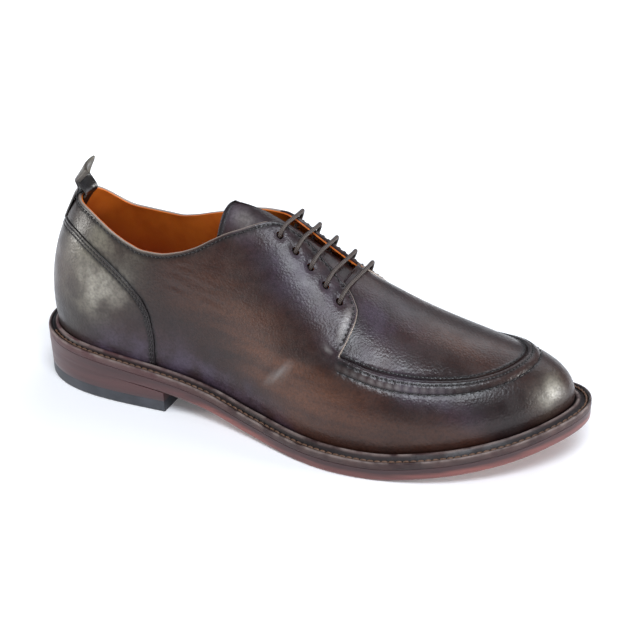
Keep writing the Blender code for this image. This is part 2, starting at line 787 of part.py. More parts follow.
def make_laces():
    """Five straight bars lying over the facings from eyelet to eyelet."""
    waxed = leather("lace_cord", (0.1, 0.07, 0.05), 0.55)
    lift = LACE_DIAMETER / 2 + JOIN
    for number, (station, outer, inner) in enumerate(EYELETS, 1):
        out = np.linspace(-outer, inner, LACE_COUNT)
        path = on_last(flat_point(np.full(len(out), station), out))
        ahead = on_last(flat_point(np.full(len(out), station + 1), out))
        normal = unit(np.cross(ahead - path, np.gradient(path, axis=0)))
        path = (path + normal * lift - CENTRE) * MM
        curve = bpy.data.curves.new(f"lace_bar_{number}", "CURVE")
        curve.dimensions = "3D"
        curve.bevel_depth = LACE_DIAMETER / 2 * MM
        curve.bevel_resolution = 2
        curve.use_fill_caps = True
        spline = curve.splines.new("POLY")
        spline.points.add(len(path) - 1)
        for point, place_at in zip(spline.points, path):
            point.co = (*place_at, 1.0)
        place(f"lace_bar_{number}", curve, waxed)


make_outsole()
make_welt()
make_heel()
make_insole()
make_upper()
make_tongue()
make_pull_loop()
make_laces()
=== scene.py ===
"""Right derby shoe: burnished brown upper with an apron toe, five lace bars, raised welt and stacked heel.

Sizes are in millimetres with the back of the heel at x = 0, +X to the toe, +Y to the inner side and the floor
at z = 0. Each piece is then set down in metres in the frame's own place.
"""

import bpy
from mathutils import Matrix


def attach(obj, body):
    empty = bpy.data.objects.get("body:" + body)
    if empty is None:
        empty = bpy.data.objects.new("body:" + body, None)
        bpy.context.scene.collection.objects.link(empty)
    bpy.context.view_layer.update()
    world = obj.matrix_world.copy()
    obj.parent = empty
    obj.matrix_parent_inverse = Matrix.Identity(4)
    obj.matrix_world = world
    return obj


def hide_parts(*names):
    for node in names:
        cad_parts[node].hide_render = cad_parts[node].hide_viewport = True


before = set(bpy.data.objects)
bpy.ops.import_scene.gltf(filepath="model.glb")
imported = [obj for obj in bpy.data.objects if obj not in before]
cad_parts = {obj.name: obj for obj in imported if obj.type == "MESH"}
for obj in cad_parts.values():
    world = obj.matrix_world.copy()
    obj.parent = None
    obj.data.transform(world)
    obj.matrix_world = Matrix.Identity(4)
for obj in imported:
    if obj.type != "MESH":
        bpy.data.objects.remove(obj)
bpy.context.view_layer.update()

import bpy
import numpy as np
from mathutils import Matrix, Vector
from mathutils.geometry import delaunay_2d_cdt
from mathutils.kdtree import KDTree


# Insole: a board of tan leather over a cork filling, the first piece set on the last. The upper is pulled over
# it, so its edge follows the sole's outline less the welt, and its top shows inside the collar.

LENGTH = 302.0
BALL_WIDTH = 107.0
HEEL_HEIGHT = 17.5
TOE_SPRING = 17.5
TOE_SWING = 13.0
OUTSOLE_THICK = 6.2
WELT_THICK = 4.0
JOIN = 0.3
INSOLE_RISE = 3.0
INSOLE_INSET = 3.5
INSOLE_ROUND = 0.6
INSOLE_STEP = 7.0
RIM_COUNT = 420
CAD_RIM_COUNT = 112
SOLE_THICK = OUTSOLE_THICK + WELT_THICK + 2 * JOIN
MM = 0.001

# Outsole outline in percent: station, outer half-width, inner half-width
OUTLINE = (
    (2, 17.4, 17.4),
    (7, 29.0, 29.4),
    (17, 35.0, 34.6),
    (26, 35.0, 32.7),
    (38, 36.4, 29.4),
    (50, 45.6, 32.5),
    (61, 53.6, 41.4),
    (71, 52.4, 47.6),
    (81, 44.8, 49.4),
    (89, 32.0, 44.2),
    (96, 13.4, 34.0),
)
# Underside of the outsole in percent: station, part of the heel height, part of the toe spring
UNDERSIDE = (
    (0, 100, 0),
    (13, 92, 0),
    (26, 72, 0),
    (35, 48, 0),
    (45, 14, 0),
    (56, 0, 0),
    (68, 0, 0),
    (79, 0, 20),
    (90, 0, 52),
    (100, 0, 100),
)
# Station in percent, reach of the welt beyond the upper
WELT_REACH = ((0, 7.0), (40, 7.5), (63, 8.5), (100, 9.0))


def smooth(rows):
    """Monotone cubic through the rows: the first column is the station, the rest are values."""
    rows = np.asarray(rows, float)
    x, y = rows[:, 0], rows[:, 1:]
    step = np.diff(x)[:, None]
    rate = np.diff(y, axis=0) / step
    before, after = rate[:-1], rate[1:]
    same = before * after > 0
    middle = np.where(same, 2 * before * after / np.where(same, before + after, 1.0), 0.0)
    slope = np.vstack([rate[:1], middle, rate[-1:]])

    def at(station):
        q = np.clip(station, x[0], x[-1])
        i = np.clip(np.searchsorted(x, q, side="right") - 1, 0, len(x) - 2)
        h = step[i, 0][..., None]
        s = (q - x[i])[..., None] / h
        turn = s * (1 - s) * h * (slope[i] * (1 - s) - slope[i + 1] * s)
        return y[i] + (y[i + 1] - y[i]) * s * s * (3 - 2 * s) + turn

    return at


def closed_curve(knots, points):
    """Periodic cubic spline through the points at rising knots from 0 to 1."""
    count = len(points)
    knots = np.append(knots, 1.0)
    gap = np.diff(knots)
    rate = (np.roll(points, -1, axis=0) - points) / gap[:, None]
    system = np.zeros((count, count))
    for i in range(count):
        system[i, i - 1] = gap[i - 1]
        system[i, i] = 2 * (gap[i - 1] + gap[i])
        system[i, (i + 1) % count] = gap[i]
    bend = np.linalg.solve(system, 6 * (rate - np.roll(rate, 1, axis=0)))

    def at(t):
        t = np.mod(t, 1.0)
        i = np.clip(np.searchsorted(knots, t, side="right") - 1, 0, count - 1)
        j = (i + 1) % count
        h = gap[i][..., None]
        b = (t - knots[i])[..., None] / h
        a = 1 - b
        turn = ((a**3 - a) * bend[i] + (b**3 - b) * bend[j]) * h * h / 6
        return a * points[i] + b * points[j] + turn

    return at


def lengths(points):
    """Distance from the first point along a line of points."""
    return np.append(0.0, np.cumsum(np.linalg.norm(np.diff(points, axis=0), axis=1)))


def unit(vectors):
    """The vectors scaled to length 1."""
    return vectors / np.linalg.norm(vectors, axis=-1, keepdims=True)


def sole_outline():
    """Closed outsole edge: 0 at the heel, the outer side to 0.5 at the toe, then back on the inner side."""
    rows = np.array(OUTLINE, float) * (LENGTH, BALL_WIDTH, BALL_WIDTH) / 100
    heel = np.zeros((1, 2))
    toe = np.array([[LENGTH, TOE_SWING * BALL_WIDTH / 100]])
    outer = np.vstack([heel, rows[:, :2] * (1, -1), toe])
    inner = np.vstack([toe, rows[::-1, ::2], heel])
    halves = [lengths(side) / lengths(side)[-1] / 2 for side in (outer, inner)]
    knots = np.append(halves[0][:-1], 0.5 + halves[1][:-1])
    return closed_curve(knots, np.vstack([outer[:-1], inner[:-1]]))


outsole_edge = sole_outline()
underside_at = smooth(UNDERSIDE)
welt_reach_at = smooth(WELT_REACH)
cad_rim = outsole_edge(np.arange(CAD_RIM_COUNT) / CAD_RIM_COUNT)
CENTRE = np.append((cad_rim.min(axis=0) + cad_rim.max(axis=0)) / 2, 0.0)
RIM_T = np.arange(RIM_COUNT) / RIM_COUNT


def under(x):
    """Height of the outsole's underside."""
    heel, toe = np.moveaxis(underside_at(x * 100 / LENGTH), -1, 0)
    return (heel * HEEL_HEIGHT + toe * TOE_SPRING) / 100


def edge(t, inset):
    """Plan point on the outsole edge moved in by the inset, and the outward direction there."""
    nudge = 1e-4
    along = unit(outsole_edge(t + nudge) - outsole_edge(t - nudge))
    out = np.stack([along[..., 1], -along[..., 0]], -1)
    return outsole_edge(t) - out * np.asarray(inset)[..., None], out


def welt_reach(t):
    """Reach of the welt beyond the upper at loop positions t."""
    return welt_reach_at(outsole_edge(t)[..., 0] * 100 / LENGTH)[..., 0]


def ring(t, inset, height):
    """Ring round the sole: inset from the outsole edge, height above the underside."""
    plan, _ = edge(t, np.broadcast_to(inset, t.shape))
    return np.column_stack([plan, under(plan[:, 0]) + height])


def in_batches(work, points, size=2000):
    """Work done on a few thousand points at a time, to keep its tables small."""
    return np.concatenate([work(points[i:i + size]) for i in range(0, len(points), size)])


def inside(points, loop):
    """Which points lie in the closed loop."""
    a, b = loop, np.roll(loop, -1, axis=0)
    rise = np.where(a[:, 1] == b[:, 1], 1.0, b[:, 1] - a[:, 1])

    def crossings_odd(some):
        x, y = some[:, :1], some[:, 1:]
        spans = (a[:, 1] > y) != (b[:, 1] > y)
        cross = a[:, 0] + (y - a[:, 1]) / rise * (b[:, 0] - a[:, 0])
        return np.sum(spans & (x < cross), axis=1) % 2 == 1

    return in_batches(crossings_odd, points)


def covered(points, within, without):
    """Which points lie in every loop of within and in none of without."""
    kept = np.ones(len(points), bool)
    for loop in within:
        kept[kept] = inside(points[kept], loop)
    for loop in without:
        kept[kept] = ~inside(points[kept], loop)
    return kept


def triangulate(within, without, lines, step):
    """Triangles inside all loops of within and outside those of without, with the lines as edges."""
    points, edges = [], []
    for line, closed in [(loop, True) for loop in within + without] + [(line, False) for line in lines]:
        start, count = len(points), len(line)
        points.extend(line)
        edges.extend((start + i, start + (i + 1) % count) for i in range(count if closed else count - 1))
    tree = KDTree(len(points))
    for i, (x, y) in enumerate(points):
        tree.insert((x, y, 0.0), i)
    tree.balance()
    low = np.max([loop.min(axis=0) for loop in within], axis=0)
    high = np.min([loop.max(axis=0) for loop in within], axis=0)
    lattice = []
    row_step = 0.866 * step
    for row, y in enumerate(np.arange(low[1], high[1], row_step)):
        x = np.arange(low[0] + row % 2 * step / 2, high[0], step)
        lattice.append(np.column_stack([x, np.full(len(x), y)]))
    lattice = np.vstack(lattice)
    lattice = lattice[covered(lattice, within, without)]
    spacing = 0.55 * step
    lattice = [p for p in lattice if tree.find((p[0], p[1], 0.0))[2] > spacing]
    every = [Vector((p[0], p[1])) for p in points + lattice]
    found, _, faces, *_ = delaunay_2d_cdt(every, edges, [], 0, 1e-5)
    flat = np.array([v[:] for v in found])
    faces = np.array(faces)
    kept = covered(flat[faces].mean(axis=1), within, without)
    used, faces = np.unique(faces[kept], return_inverse=True)
    return flat[used], faces.reshape(-1, 3)


def band_faces(count, first, second):
    """Quads between two closed rings of points, given by the index of their first points."""
    return [(first + i, first + (i + 1) % count, second + (i + 1) % count, second + i) for i in range(count)]


def slab(rings, floor_height, top_height, step):
    """Points and faces of a solid between stacked rings, closed below and above by filled caps."""
    count = len(rings[0])
    points = list(np.vstack(rings))
    faces = []
    for k in range(len(rings) - 1):
        faces += band_faces(count, k * count, (k + 1) * count)
    last = (len(rings) - 1) * count
    for first, height, flip in ((0, floor_height, True), (last, top_height, False)):
        outline = np.array(points[first:first + count])[:, :2]
        flat, triangles = triangulate([outline], [], [], step)
        gaps = np.linalg.norm(flat[:, None] - outline, axis=-1)
        number = first + gaps.argmin(axis=1)
        for i in np.flatnonzero(gaps.min(axis=1) > 1e-3):
            number[i] = len(points)
            points.append((*flat[i], height(flat[i, 0])))
        triangles = number[triangles]
        faces += (triangles[:, ::-1] if flip else triangles).tolist()
    return np.array(points), faces


def put(name, points, faces, material, crisp=40):
    """One mesh object from points in millimetres, smooth but for edges that turn more than crisp degrees."""
    mesh = bpy.data.meshes.new(name)
    mesh.from_pydata(((points - CENTRE) * MM).tolist(), [], faces)
    mesh.shade_smooth()
    mesh.set_sharp_from_angle(angle=np.radians(crisp))
    mesh.materials.append(material)
    piece = bpy.data.objects.new(name, mesh)
    bpy.context.collection.objects.link(piece)
    return piece


def paint(piece, name, values):
    """A number for each point of the piece that its material reads."""
    attribute = piece.data.attributes.new(name, "FLOAT", "POINT")
    attribute.data.foreach_set("value", np.asarray(values, np.float32))


def fit(piece, node):
    """The piece moves with the shoe and stands for the node, whose own part is hidden."""
    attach(piece, "root")
    if node:
        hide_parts(node)


def new_finish(name):
    """An empty finish, with its node tree, shader and the places on the shoe in metres."""
    material = bpy.data.materials.new(name)
    material.use_nodes = True
    tree = material.node_tree
    place = tree.nodes.new("ShaderNodeTexCoord").outputs["Object"]
    return material, tree, tree.nodes["Principled BSDF"], place


def join(tree, made, inputs):
    """Sets a node's inputs to values or joins them to other nodes."""
    for key, value in inputs.items():
        if isinstance(value, bpy.types.NodeSocket):
            tree.links.new(value, made.inputs[key])
        else:
            made.inputs[key].default_value = value


def node(tree, kind, inputs, **settings):
    """A new shader node with its settings and inputs."""
    made = tree.nodes.new(kind)
    for key, value in settings.items():
        setattr(made, key, value)
    join(tree, made, inputs)
    return made


def noise(tree, place, scale, detail=3.0):
    """Cloudy noise from 0 to 1 with features of about 1 / scale metres."""
    inputs = {"Vector": place, "Scale": scale, "Detail": detail}
    return node(tree, "ShaderNodeTexNoise", inputs).outputs["Fac"]


def stretched(tree, place, factors):
    """Places scaled along each axis, so that a pattern runs long along the smaller ones."""
    return node(tree, "ShaderNodeMapping", {"Vector": place, "Scale": factors}).outputs["Vector"]


def spread_out(tree, value, low, high, to_low=0.0, to_high=1.0):
    """The value from low to high drawn out to another range."""
    inputs = {"Value": value, "From Min": low, "From Max": high, "To Min": to_low, "To Max": to_high}
    return node(tree, "ShaderNodeMapRange", inputs, interpolation_type="SMOOTHSTEP").outputs["Result"]


def combined(tree, first, second, operation="ADD"):
    """Two values added, or combined by another operation."""
    return node(tree, "ShaderNodeMath", {0: first, 1: second}, operation=operation).outputs["Value"]


def painted(tree, name):
    """The number painted on the piece under that name."""
    return node(tree, "ShaderNodeAttribute", {}, attribute_name=name).outputs["Fac"]


def tint(tree, share, first, second):
    """First colour turning into the second by the share."""
    colours = [c if isinstance(c, bpy.types.NodeSocket) else (*c, 1.0) for c in (first, second)]
    inputs = {0: share, 6: colours[0], 7: colours[1]}
    return node(tree, "ShaderNodeMix", inputs, data_type="RGBA").outputs[2]


def bump(tree, height, strength, distance):
    """Relief from a height that is worth so many metres at its full strength."""
    inputs = {"Height": height, "Strength": strength, "Distance": distance}
    return node(tree, "ShaderNodeBump", inputs).outputs["Normal"]


def tan_leather(name, deep, pale):
    """Undyed lining leather: soft clouds of colour, painted shade deep inside, fine grain, hardly any gloss.
    """
    material, tree, shader, place = new_finish(name)
    cloud = noise(tree, place, 60.0, 4.0)
    colour = tint(tree, spread_out(tree, cloud, 0.3, 0.7), deep, pale)
    shaded = tuple(share * part for share, part in zip(deep, (0.5, 0.3, 0.3)))
    # Painted shade: darker where the piece is marked as lying deep inside the shoe
    colour = tint(tree, painted(tree, "depth"), colour, shaded)
    rough = spread_out(tree, noise(tree, place, 400.0), 0.2, 0.8, 0.45, 0.65)
    relief = bump(tree, noise(tree, place, 1500.0), 0.25, 0.0003)
    join(tree, shader, {"Base Color": colour, "Roughness": rough, "Normal": relief})
    return material


insole_low = OUTSOLE_THICK + JOIN
insole_high = SOLE_THICK + INSOLE_RISE
insole_edge = welt_reach(RIM_T) + INSOLE_INSET
insole_rings = [
    ring(RIM_T, insole_edge, insole_low),
    ring(RIM_T, insole_edge, insole_high - INSOLE_ROUND),
    ring(RIM_T, insole_edge + INSOLE_ROUND, insole_high),
]
insole_points, insole_faces = slab(
    insole_rings, lambda x: under(x) + insole_low, lambda x: under(x) + insole_high, INSOLE_STEP
)
insole_leather = tan_leather("insole_leather", (0.36, 0.11, 0.014), (0.5, 0.17, 0.025))
insole = put("insole_board", insole_points, insole_faces, insole_leather)
fit(insole, "insole")


# Lining: thin orange-tan leather pasted inside the whole upper, cut level with the collar. The last gives its
# shape: walls rise from the feather line to a crest, and seams are drawn on a pattern unrolled from it.

INSTEP_HEIGHT = 108.5
WALL = 2.3
LINING_THICK = 0.7
LINING_STEP = 2.6
SKIN_GAP = 0.02
SHADE_START = 5.0
SHADE_REACH = 24.0
SEAM_STEP = 1.1
PATTERN_COUNT = 1440
WALL_COUNT = 41
EYELET_RADIUS = 1.9
EYELET_SIDES = 18
# Crest of the closed last in percent: station, height
CREST = (
    (14, 112.0),
    (30, 114.0),
    (39, 110.0),
    (47, 100.0),
    (53, 89.0),
    (60, 76.0),
    (70, 62.8),
    (78, 55.2),
    (85.5, 50.6),
)
CREST_SWING = 7.0
# Walls: feather station, crest station, lean at the feather in degrees (outer, inner), rise of the lower
# handle in percent of the height (outer, inner), reach of the upper handle in percent of the half-width
# (outer, inner)
WALLS = (
    (2, 14, 12, 12, 56, 56, 38, 38),
    (13, 20, 6, 4, 60, 60, 38, 38),
    (26, 29, 2, -2, 55, 55, 45, 45),
    (40, 40.5, 6, 2, 45, 50, 55, 62),
    (53, 53, 10, 6, 45, 50, 58, 66),
    (66, 65.5, 10, 8, 55, 60, 58, 60),
    (79, 76, 10, 10, 60, 60, 55, 56),
    (91, 83, 10, 10, 60, 60, 55, 55),
    (98, 85.5, 10, 10, 60, 60, 55, 55),
)
# Top edge of the upper on the pattern, in percent: station, distance out from the crest (outer, inner)
TOPLINE = (
    (4.0, 0.0, 0.0),
    (4.9, 7.0, 5.5),
    (5.7, 11.5, 11.5),
    (6.5, 14.4, 20.5),
    (7.4, 16.9, 27.0),
    (8.9, 20.6, 32.2),
    (10.8, 25.2, 34.8),
    (14, 32.1, 36.7),
    (17, 37.2, 37.2),
    (20, 40.6, 37.2),
    (23.6, 41.7, 35.3),
    (27.5, 40.3, 32.0),
    (31, 36.9, 28.5),
    (34.4, 31.1, 24.3),
    (37.4, 25.4, 20.3),
    (40, 20.9, 16.8),
    (42.5, 15.1, 13.0),
    (44.4, 10.3, 9.5),
    (45.8, 7.6, 6.5),
    (47.5, 6.2, 4.8),
    (51, 6.0, 4.3),
    (54, 8.4, 4.8),
    (56.4, 10.4, 6.2),
    (58.3, 12.8, 8.0),
)
# Eyelets in percent: station, distance out (outer, inner)
EYELETS = (
    (46.8, 13.8, 12.5),
    (50.0, 15.8, 12.6),
    (53.0, 17.7, 13.2),
    (56.1, 20.6, 15.0),
    (59.0, 23.4, 18.0),
)
crest_at = smooth(CREST)
wall_at = smooth(WALLS)


def feather(t):
    """Line where the upper meets the welt, and the outward direction there."""
    plan, out = edge(t, welt_reach(t))
    return np.concatenate([plan, under(plan[..., :1]) + SOLE_THICK], -1), out


def crest(x):
    """Points on the crest of the closed last, by their place along the shoe."""
    first = CREST[0][0] * LENGTH / 100
    last = CREST[-1][0] * LENGTH / 100
    y = CREST_SWING * BALL_WIDTH / 100 * np.clip((x - first) / (last - first), 0, None)
    z = crest_at(x * 100 / LENGTH)[..., 0] * INSTEP_HEIGHT / 100
    return np.stack([x, y, z], -1)


def wall_handles(t):
    """Four Bezier points of the wall from feather line to crest, and the way out from the crest in plan."""
    foot, out = feather(t)
    row = wall_at(foot[..., 0] * 100 / LENGTH)
    top = crest(row[..., 0] * LENGTH / 100)
    inner = np.mod(t, 1.0) > 0.5
    lean, rise, crown = (np.where(inner, row[..., k + 1], row[..., k]) for k in (1, 3, 5))
    lean = np.radians(lean)[..., None]
    across = foot[..., :2] - top[..., :2]
    reach = np.linalg.norm(across, axis=-1, keepdims=True)
    spread = across / reach
    half_step = 0.5
    slope = (crest(top[..., 0] + half_step) - crest(top[..., 0] - half_step))[..., 2:]
    upward = np.concatenate([out * np.sin(lean), np.cos(lean)], -1)
    sideways = np.concatenate([spread, slope * spread[..., :1]], -1)
    height = top[..., 2:] - foot[..., 2:]
    low = foot + upward * height * rise[..., None] / 100
    high = top + sideways * reach * crown[..., None] / 100
    return np.stack([foot, low, high, top], -2), spread


def bezier(handles, w):
    """Points of cubic curves at the parameters w."""
    a, b, c, d = np.moveaxis(handles[..., None, :, :], -2, 0)
    w = w[..., None]
    return (1 - w) ** 3 * a + 3 * w * (1 - w) ** 2 * b + 3 * w * w * (1 - w) * c + w**3 * d


W_STEPS = np.linspace(0, 1, WALL_COUNT)


def wall_lengths(handles):
    """Girth from the feather line at each of the wall's even parameter steps."""
    points = bezier(handles, np.broadcast_to(W_STEPS, (len(handles), len(W_STEPS))))
    steps = np.linalg.norm(np.diff(points, axis=1), axis=2)
    return np.concatenate([np.zeros((len(handles), 1)), np.cumsum(steps, axis=1)], 1)


def wall_point(t, girth):
    """Points on the last at loop positions t, girth up from the feather line."""
    handles, _ = wall_handles(t)
    table = wall_lengths(handles)
    w = np.array([np.interp(g, row, W_STEPS) for g, row in zip(girth, table)])
    return bezier(handles, w[:, None])[:, 0]


PATTERN_T = (np.arange(PATTERN_COUNT) + 0.5) / PATTERN_COUNT
pattern_handles, PATTERN_SPREAD = wall_handles(PATTERN_T)
PATTERN_TOP = pattern_handles[:, 3, :2]
PATTERN_GIRTH = wall_lengths(pattern_handles)[:, -1]


def feather_flat(t):
    """Feather line on the flat pattern."""
    handles, spread = wall_handles(t)
    return handles[:, 3, :2] + spread * wall_lengths(handles)[:, -1:]


def on_last(flat):
    """Carry points of the flat pattern onto the last."""

    def carried(some):
        offset = some[:, None, :] - PATTERN_TOP
        along = np.sum(offset * PATTERN_SPREAD, -1)
        aside = offset[..., 0] * PATTERN_SPREAD[:, 1] - offset[..., 1] * PATTERN_SPREAD[:, 0]
        behind = along < -0.5
        best = np.argmin(np.abs(aside) + behind * LENGTH, axis=1)
        rows = np.arange(len(some))
        after = (best + 1) % PATTERN_COUNT
        crosses = aside[rows, best] * aside[rows, after] <= 0
        other = np.where(crosses, after, (best - 1) % PATTERN_COUNT)
        gap = aside[rows, best] - aside[rows, other]
        share = np.clip(aside[rows, best] / np.where(gap == 0, 1.0, gap), 0, 1)
        turn = np.mod(PATTERN_T[other] - PATTERN_T[best] + 0.5, 1.0) - 0.5
        t = PATTERN_T[best] + share * turn
        depth = along[rows, best] * (1 - share) + along[rows, other] * share
        girth = PATTERN_GIRTH[best] * (1 - share) + PATTERN_GIRTH[other] * share
        return wall_point(t, girth - depth)

    return in_batches(carried, flat)


def flat_point(station, out):
    """Pattern point at a station, out from the crest line; negative is the outer side. Both in percent."""
    x = np.asarray(station, float) * LENGTH / 100
    y = crest(x)[..., 1] + np.asarray(out, float) * BALL_WIDTH / 100
    return np.stack([x, y], -1)


def seam(rows, side, step=SEAM_STEP):
    """Evenly stepped pattern line through a seam table; side is -1 for the outer half, 1 for the inner."""
    rows = np.array(rows, float)
    points = flat_point(rows[:, 0], side * rows[:, 1 if side < 0 else 2])
    run = lengths(points)
    line = smooth(np.column_stack([run, points]))
    return line(np.linspace(0, run[-1], max(2, round(run[-1] / step) + 1)))


def both_sides(rows, step=SEAM_STEP):
    """A seam that runs from the outer side through its last row to the inner side."""
    outer = seam(rows, -1, step)
    inner = seam(rows, 1, step)
    return np.vstack([outer, inner[::-1][1:]])


def sidestep(line, distance):
    """The line moved to its left."""
    along = unit(np.gradient(line, axis=0))
    return line + np.column_stack([-along[:, 1], along[:, 0]]) * distance


def outline_edges(faces):
    """Directed edges that only one triangle has."""
    directed = {(int(f[i]), int(f[i - 2])) for f in faces for i in range(3)}
    return [(a, b) for a, b in directed if (b, a) not in directed]


def normals(points, faces):
    """Area-weighted vertex normals."""
    corner = points[faces]
    face_normal = np.cross(corner[:, 1] - corner[:, 0], corner[:, 2] - corner[:, 0])
    total = np.zeros_like(points)
    for k in range(3):
        np.add.at(total, faces[:, k], face_normal)
    return unit(total)


def panel(name, flat, faces, top, bottom, material):
    """Closed leather panel on the last, between the levels top and bottom of its pattern points."""
    base = on_last(flat)
    out = normals(base, faces)
    count = len(flat)
    rims = [(b, a, a + count, b + count) for a, b in outline_edges(faces)]
    every = faces.tolist() + (faces[:, ::-1] + count).tolist() + rims
    points = np.vstack([base + out * np.reshape(top, (-1, 1)), base + out * np.reshape(bottom, (-1, 1))])
    return put(name, points, every, material)


def paint_panel(piece, name, values):
    """A number for each pattern point of a panel, the same on both its faces."""
    paint(piece, name, np.append(values, values))


def nearest(points, line):
    """Distance from each point to a line of points, and how far along the line that is."""
    a = line[:-1]
    run = line[1:] - a
    square = np.sum(run * run, -1)
    start = lengths(line)[:-1]

    def found(some):
        share = np.clip(np.sum((some[:, None] - a) * run, -1) / square, 0, 1)
        away = np.linalg.norm(some[:, None] - a - run * share[..., None], axis=-1)
        best = away.argmin(axis=1)
        rows = np.arange(len(some))
        along = start[best] + share[rows, best] * np.sqrt(square[best])
        return np.column_stack([away[rows, best], along])

    return in_batches(found, points).T


topline = both_sides(TOPLINE[::-1])
feather_loop = feather_flat(RIM_T)
eyelet_turn = np.linspace(0, 2 * np.pi, EYELET_SIDES, endpoint=False)
eyelet_circle = np.column_stack([np.cos(eyelet_turn), np.sin(eyelet_turn)]) * EYELET_RADIUS
eyelet_middles = np.array(
    [flat_point(station, out) for station, outer, inner in EYELETS for out in (-outer, inner)]
)
eyelet_loops = [middle + eyelet_circle for middle in eyelet_middles]

lining_flat, lining_faces = triangulate([feather_loop], [topline, *eyelet_loops], [], LINING_STEP)
lining_leather = tan_leather("lining_leather", (0.52, 0.105, 0.006), (0.66, 0.16, 0.012))
lining_top = LINING_THICK - WALL - SKIN_GAP
lining = panel("upper_lining", lining_flat, lining_faces, lining_top, -WALL, lining_leather)
below_collar = nearest(lining_flat, topline)[0]
# Painted shade: the lining grows darker further below the collar, deep inside the shoe
paint_panel(lining, "depth", np.clip((below_collar - SHADE_START) / SHADE_REACH, 0, 1))
fit(lining, "upper")


# Side panels: quarter and mudguard in one piece of polished calf on each side, from the heel round the toe.
# The edge along the plug is turned up into a puffed band, and the facings lap over the plug with punched
# eyelets.

PANEL_UNDER = -1.55
PANEL_STEP = 2.0
EDGE_ROUND = 0.7
EDGE_STITCH = 1.9
COLLAR_END = 44.0
BAND_RISE = 1.1
BAND_WIDTH = 7.0
BAND_STITCH = 7.3
BAND_MIDDLE = 2.6
# Run over which the band rises at each of its ends, and the blend in behind its first point
BAND_FADE = 10.0
BAND_LEAD = 3.0
BAND_BLEND = 6.0
# Puckers: spacing, share of the band's rise, and where they fade out towards the toe
PUCKER_PITCH = 4.4
PUCKER_SHARE = 0.4
PUCKER_END = 258.0
PUCKER_FADE = 30.0
PUCKER_LEAST = 0.15
# Grooves: depth, half-width
OUTER_GROOVE = (0.45, 0.9)
MIDDLE_GROOVE = (0.35, 0.6)
EDGE_GROOVE = (0.3, 0.6)
EYELET_DIMPLE = (0.4, 1.1)
# Bulge at the foot of the facing, where it is tacked down, in percent: stations, distances out; then its rise,
# its half-width and how near to the edge it sinks again, in millimetres
TACK = ((58.1, 61.2), (-45.2, -45.4))
TACK_RISE = 0.9
TACK_WIDTH = 2.2
TACK_INSET = 1.0
# Painted highlight on the band's puffs: place along the shoe and reach, distance from the apron and
# half-width, amount
PUFF_HIGHLIGHT_PLACE = 216.0
PUFF_HIGHLIGHT_REACH = 24.0
PUFF_HIGHLIGHT_MIDDLE = 5.2
PUFF_HIGHLIGHT_WIDTH = 1.3
PUFF_HIGHLIGHT_AMOUNT = 0.55
# Dark seams with painted shade in their grooves and along overlapping edges: half-width, then what is added to
# or taken from the distance to the apron and the counter; a distance that is far from every seam; half-width
# of the bare cut edge
SEAM_SHADE_WIDTH = 0.75
APRON_SHADE = 0.2
COUNTER_SHADE = 0.3
FAR_AWAY = 9.0
BARE_WIDTH = 0.35
# Extra mesh lines: distances from collar and facing edge, from the apron, and parts of the eyelet's radius
EDGE_LINES = (0.15, 0.4, 0.8, 1.4, 1.9, 2.4)
BAND_LINES = (0.15, 0.4, 0.8, 1.4, 2.0, 2.6, 3.2, 4.0, 4.8, 5.6, 6.4, 6.9, 7.3, 7.7, 8.4)
EYELET_LINES = (1.3, 1.7, 2.2)
# Front edge of the facing and edge of the plug, in percent: station, distance out (outer, inner)
FACING_FRONT = (
    (58.3, 12.8, 8.0),
    (60, 15.5, 10.5),
    (61.2, 18.8, 14.5),
    (62.2, 23.0, 20.5),
    (62.5, 29.0, 28.5),
    (62.3, 37.0, 37.0),
    (61.6, 47.5, 47.5),
)
APRON = (
    (61.6, 47.5, 47.5),
    (67.4, 45.8, 45.8),
    (73.4, 41.2, 41.2),
    (79.3, 33.8, 33.8),
    (83.4, 26.5, 26.5),
    (87.2, 15.3, 15.3),
    (88.9, 5.0, 5.0),
    (89.2, 0.0, 0.0),
)
# Edge of the counter in percent: station, distance out (outer, inner)
COUNTER = (
    (-1.5, 0.0, 0.0),
    (0.5, 12.0, 12.0),
    (6.1, 30.0, 30.0),
    (9.9, 40.2, 40.2),
    (13.3, 48.7, 48.7),
    (16.6, 58.3, 58.3),
    (18.5, 64.8, 64.8),
    (19.5, 72.6, 72.6),
    (19.6, 81.0, 81.0),
    (18.4, 96.0, 96.0),
    (17.6, 106.0, 106.0),
)
# Soft creases in percent of the pattern: from (station, out) to (station, out), then depth and half-width in
# millimetres; beside each lies a ridge, given as a part of its depth and a number of half-widths out
CREASES = (
    (26.4, -46.7, 34.2, -49.3, 0.34, 0.9),
    (25.0, -49.2, 33.3, -52.4, 0.32, 1.0),
    (28.4, -50.9, 36.2, -52.6, 0.24, 0.8),
    (27.4, -53.1, 37.8, -55.4, 0.36, 1.1),
    (23.5, -55.0, 31.0, -59.5, 0.26, 1.1),
    (30.5, -57.5, 39.5, -60.0, 0.28, 1.3),
    (47.6, -87.3, 54.1, -62.1, 0.45, 2.2),
    (57.0, -44.0, 60.5, -47.0, 0.40, 1.6),
    (57.2, -50.5, 60.9, -49.6, 0.35, 1.5),
)
RIDGE_SHARE = 0.6
RIDGE_OUT = 2.2


def bell(x, width):
    """1 at zero, falling away smoothly on both sides."""
    return np.exp(-((x / width) ** 2))


def groove(away, shape):
    """Sink of a soft groove given as depth and half-width."""
    depth, width = shape
    return depth * bell(away, width)


def rolled_edge(away, radius):
    """Drop of a panel's face towards a cut edge that is rounded over."""
    share = np.clip(away / radius, 0, 1)
    return radius * (1 - np.sqrt(1 - (1 - share) ** 2))


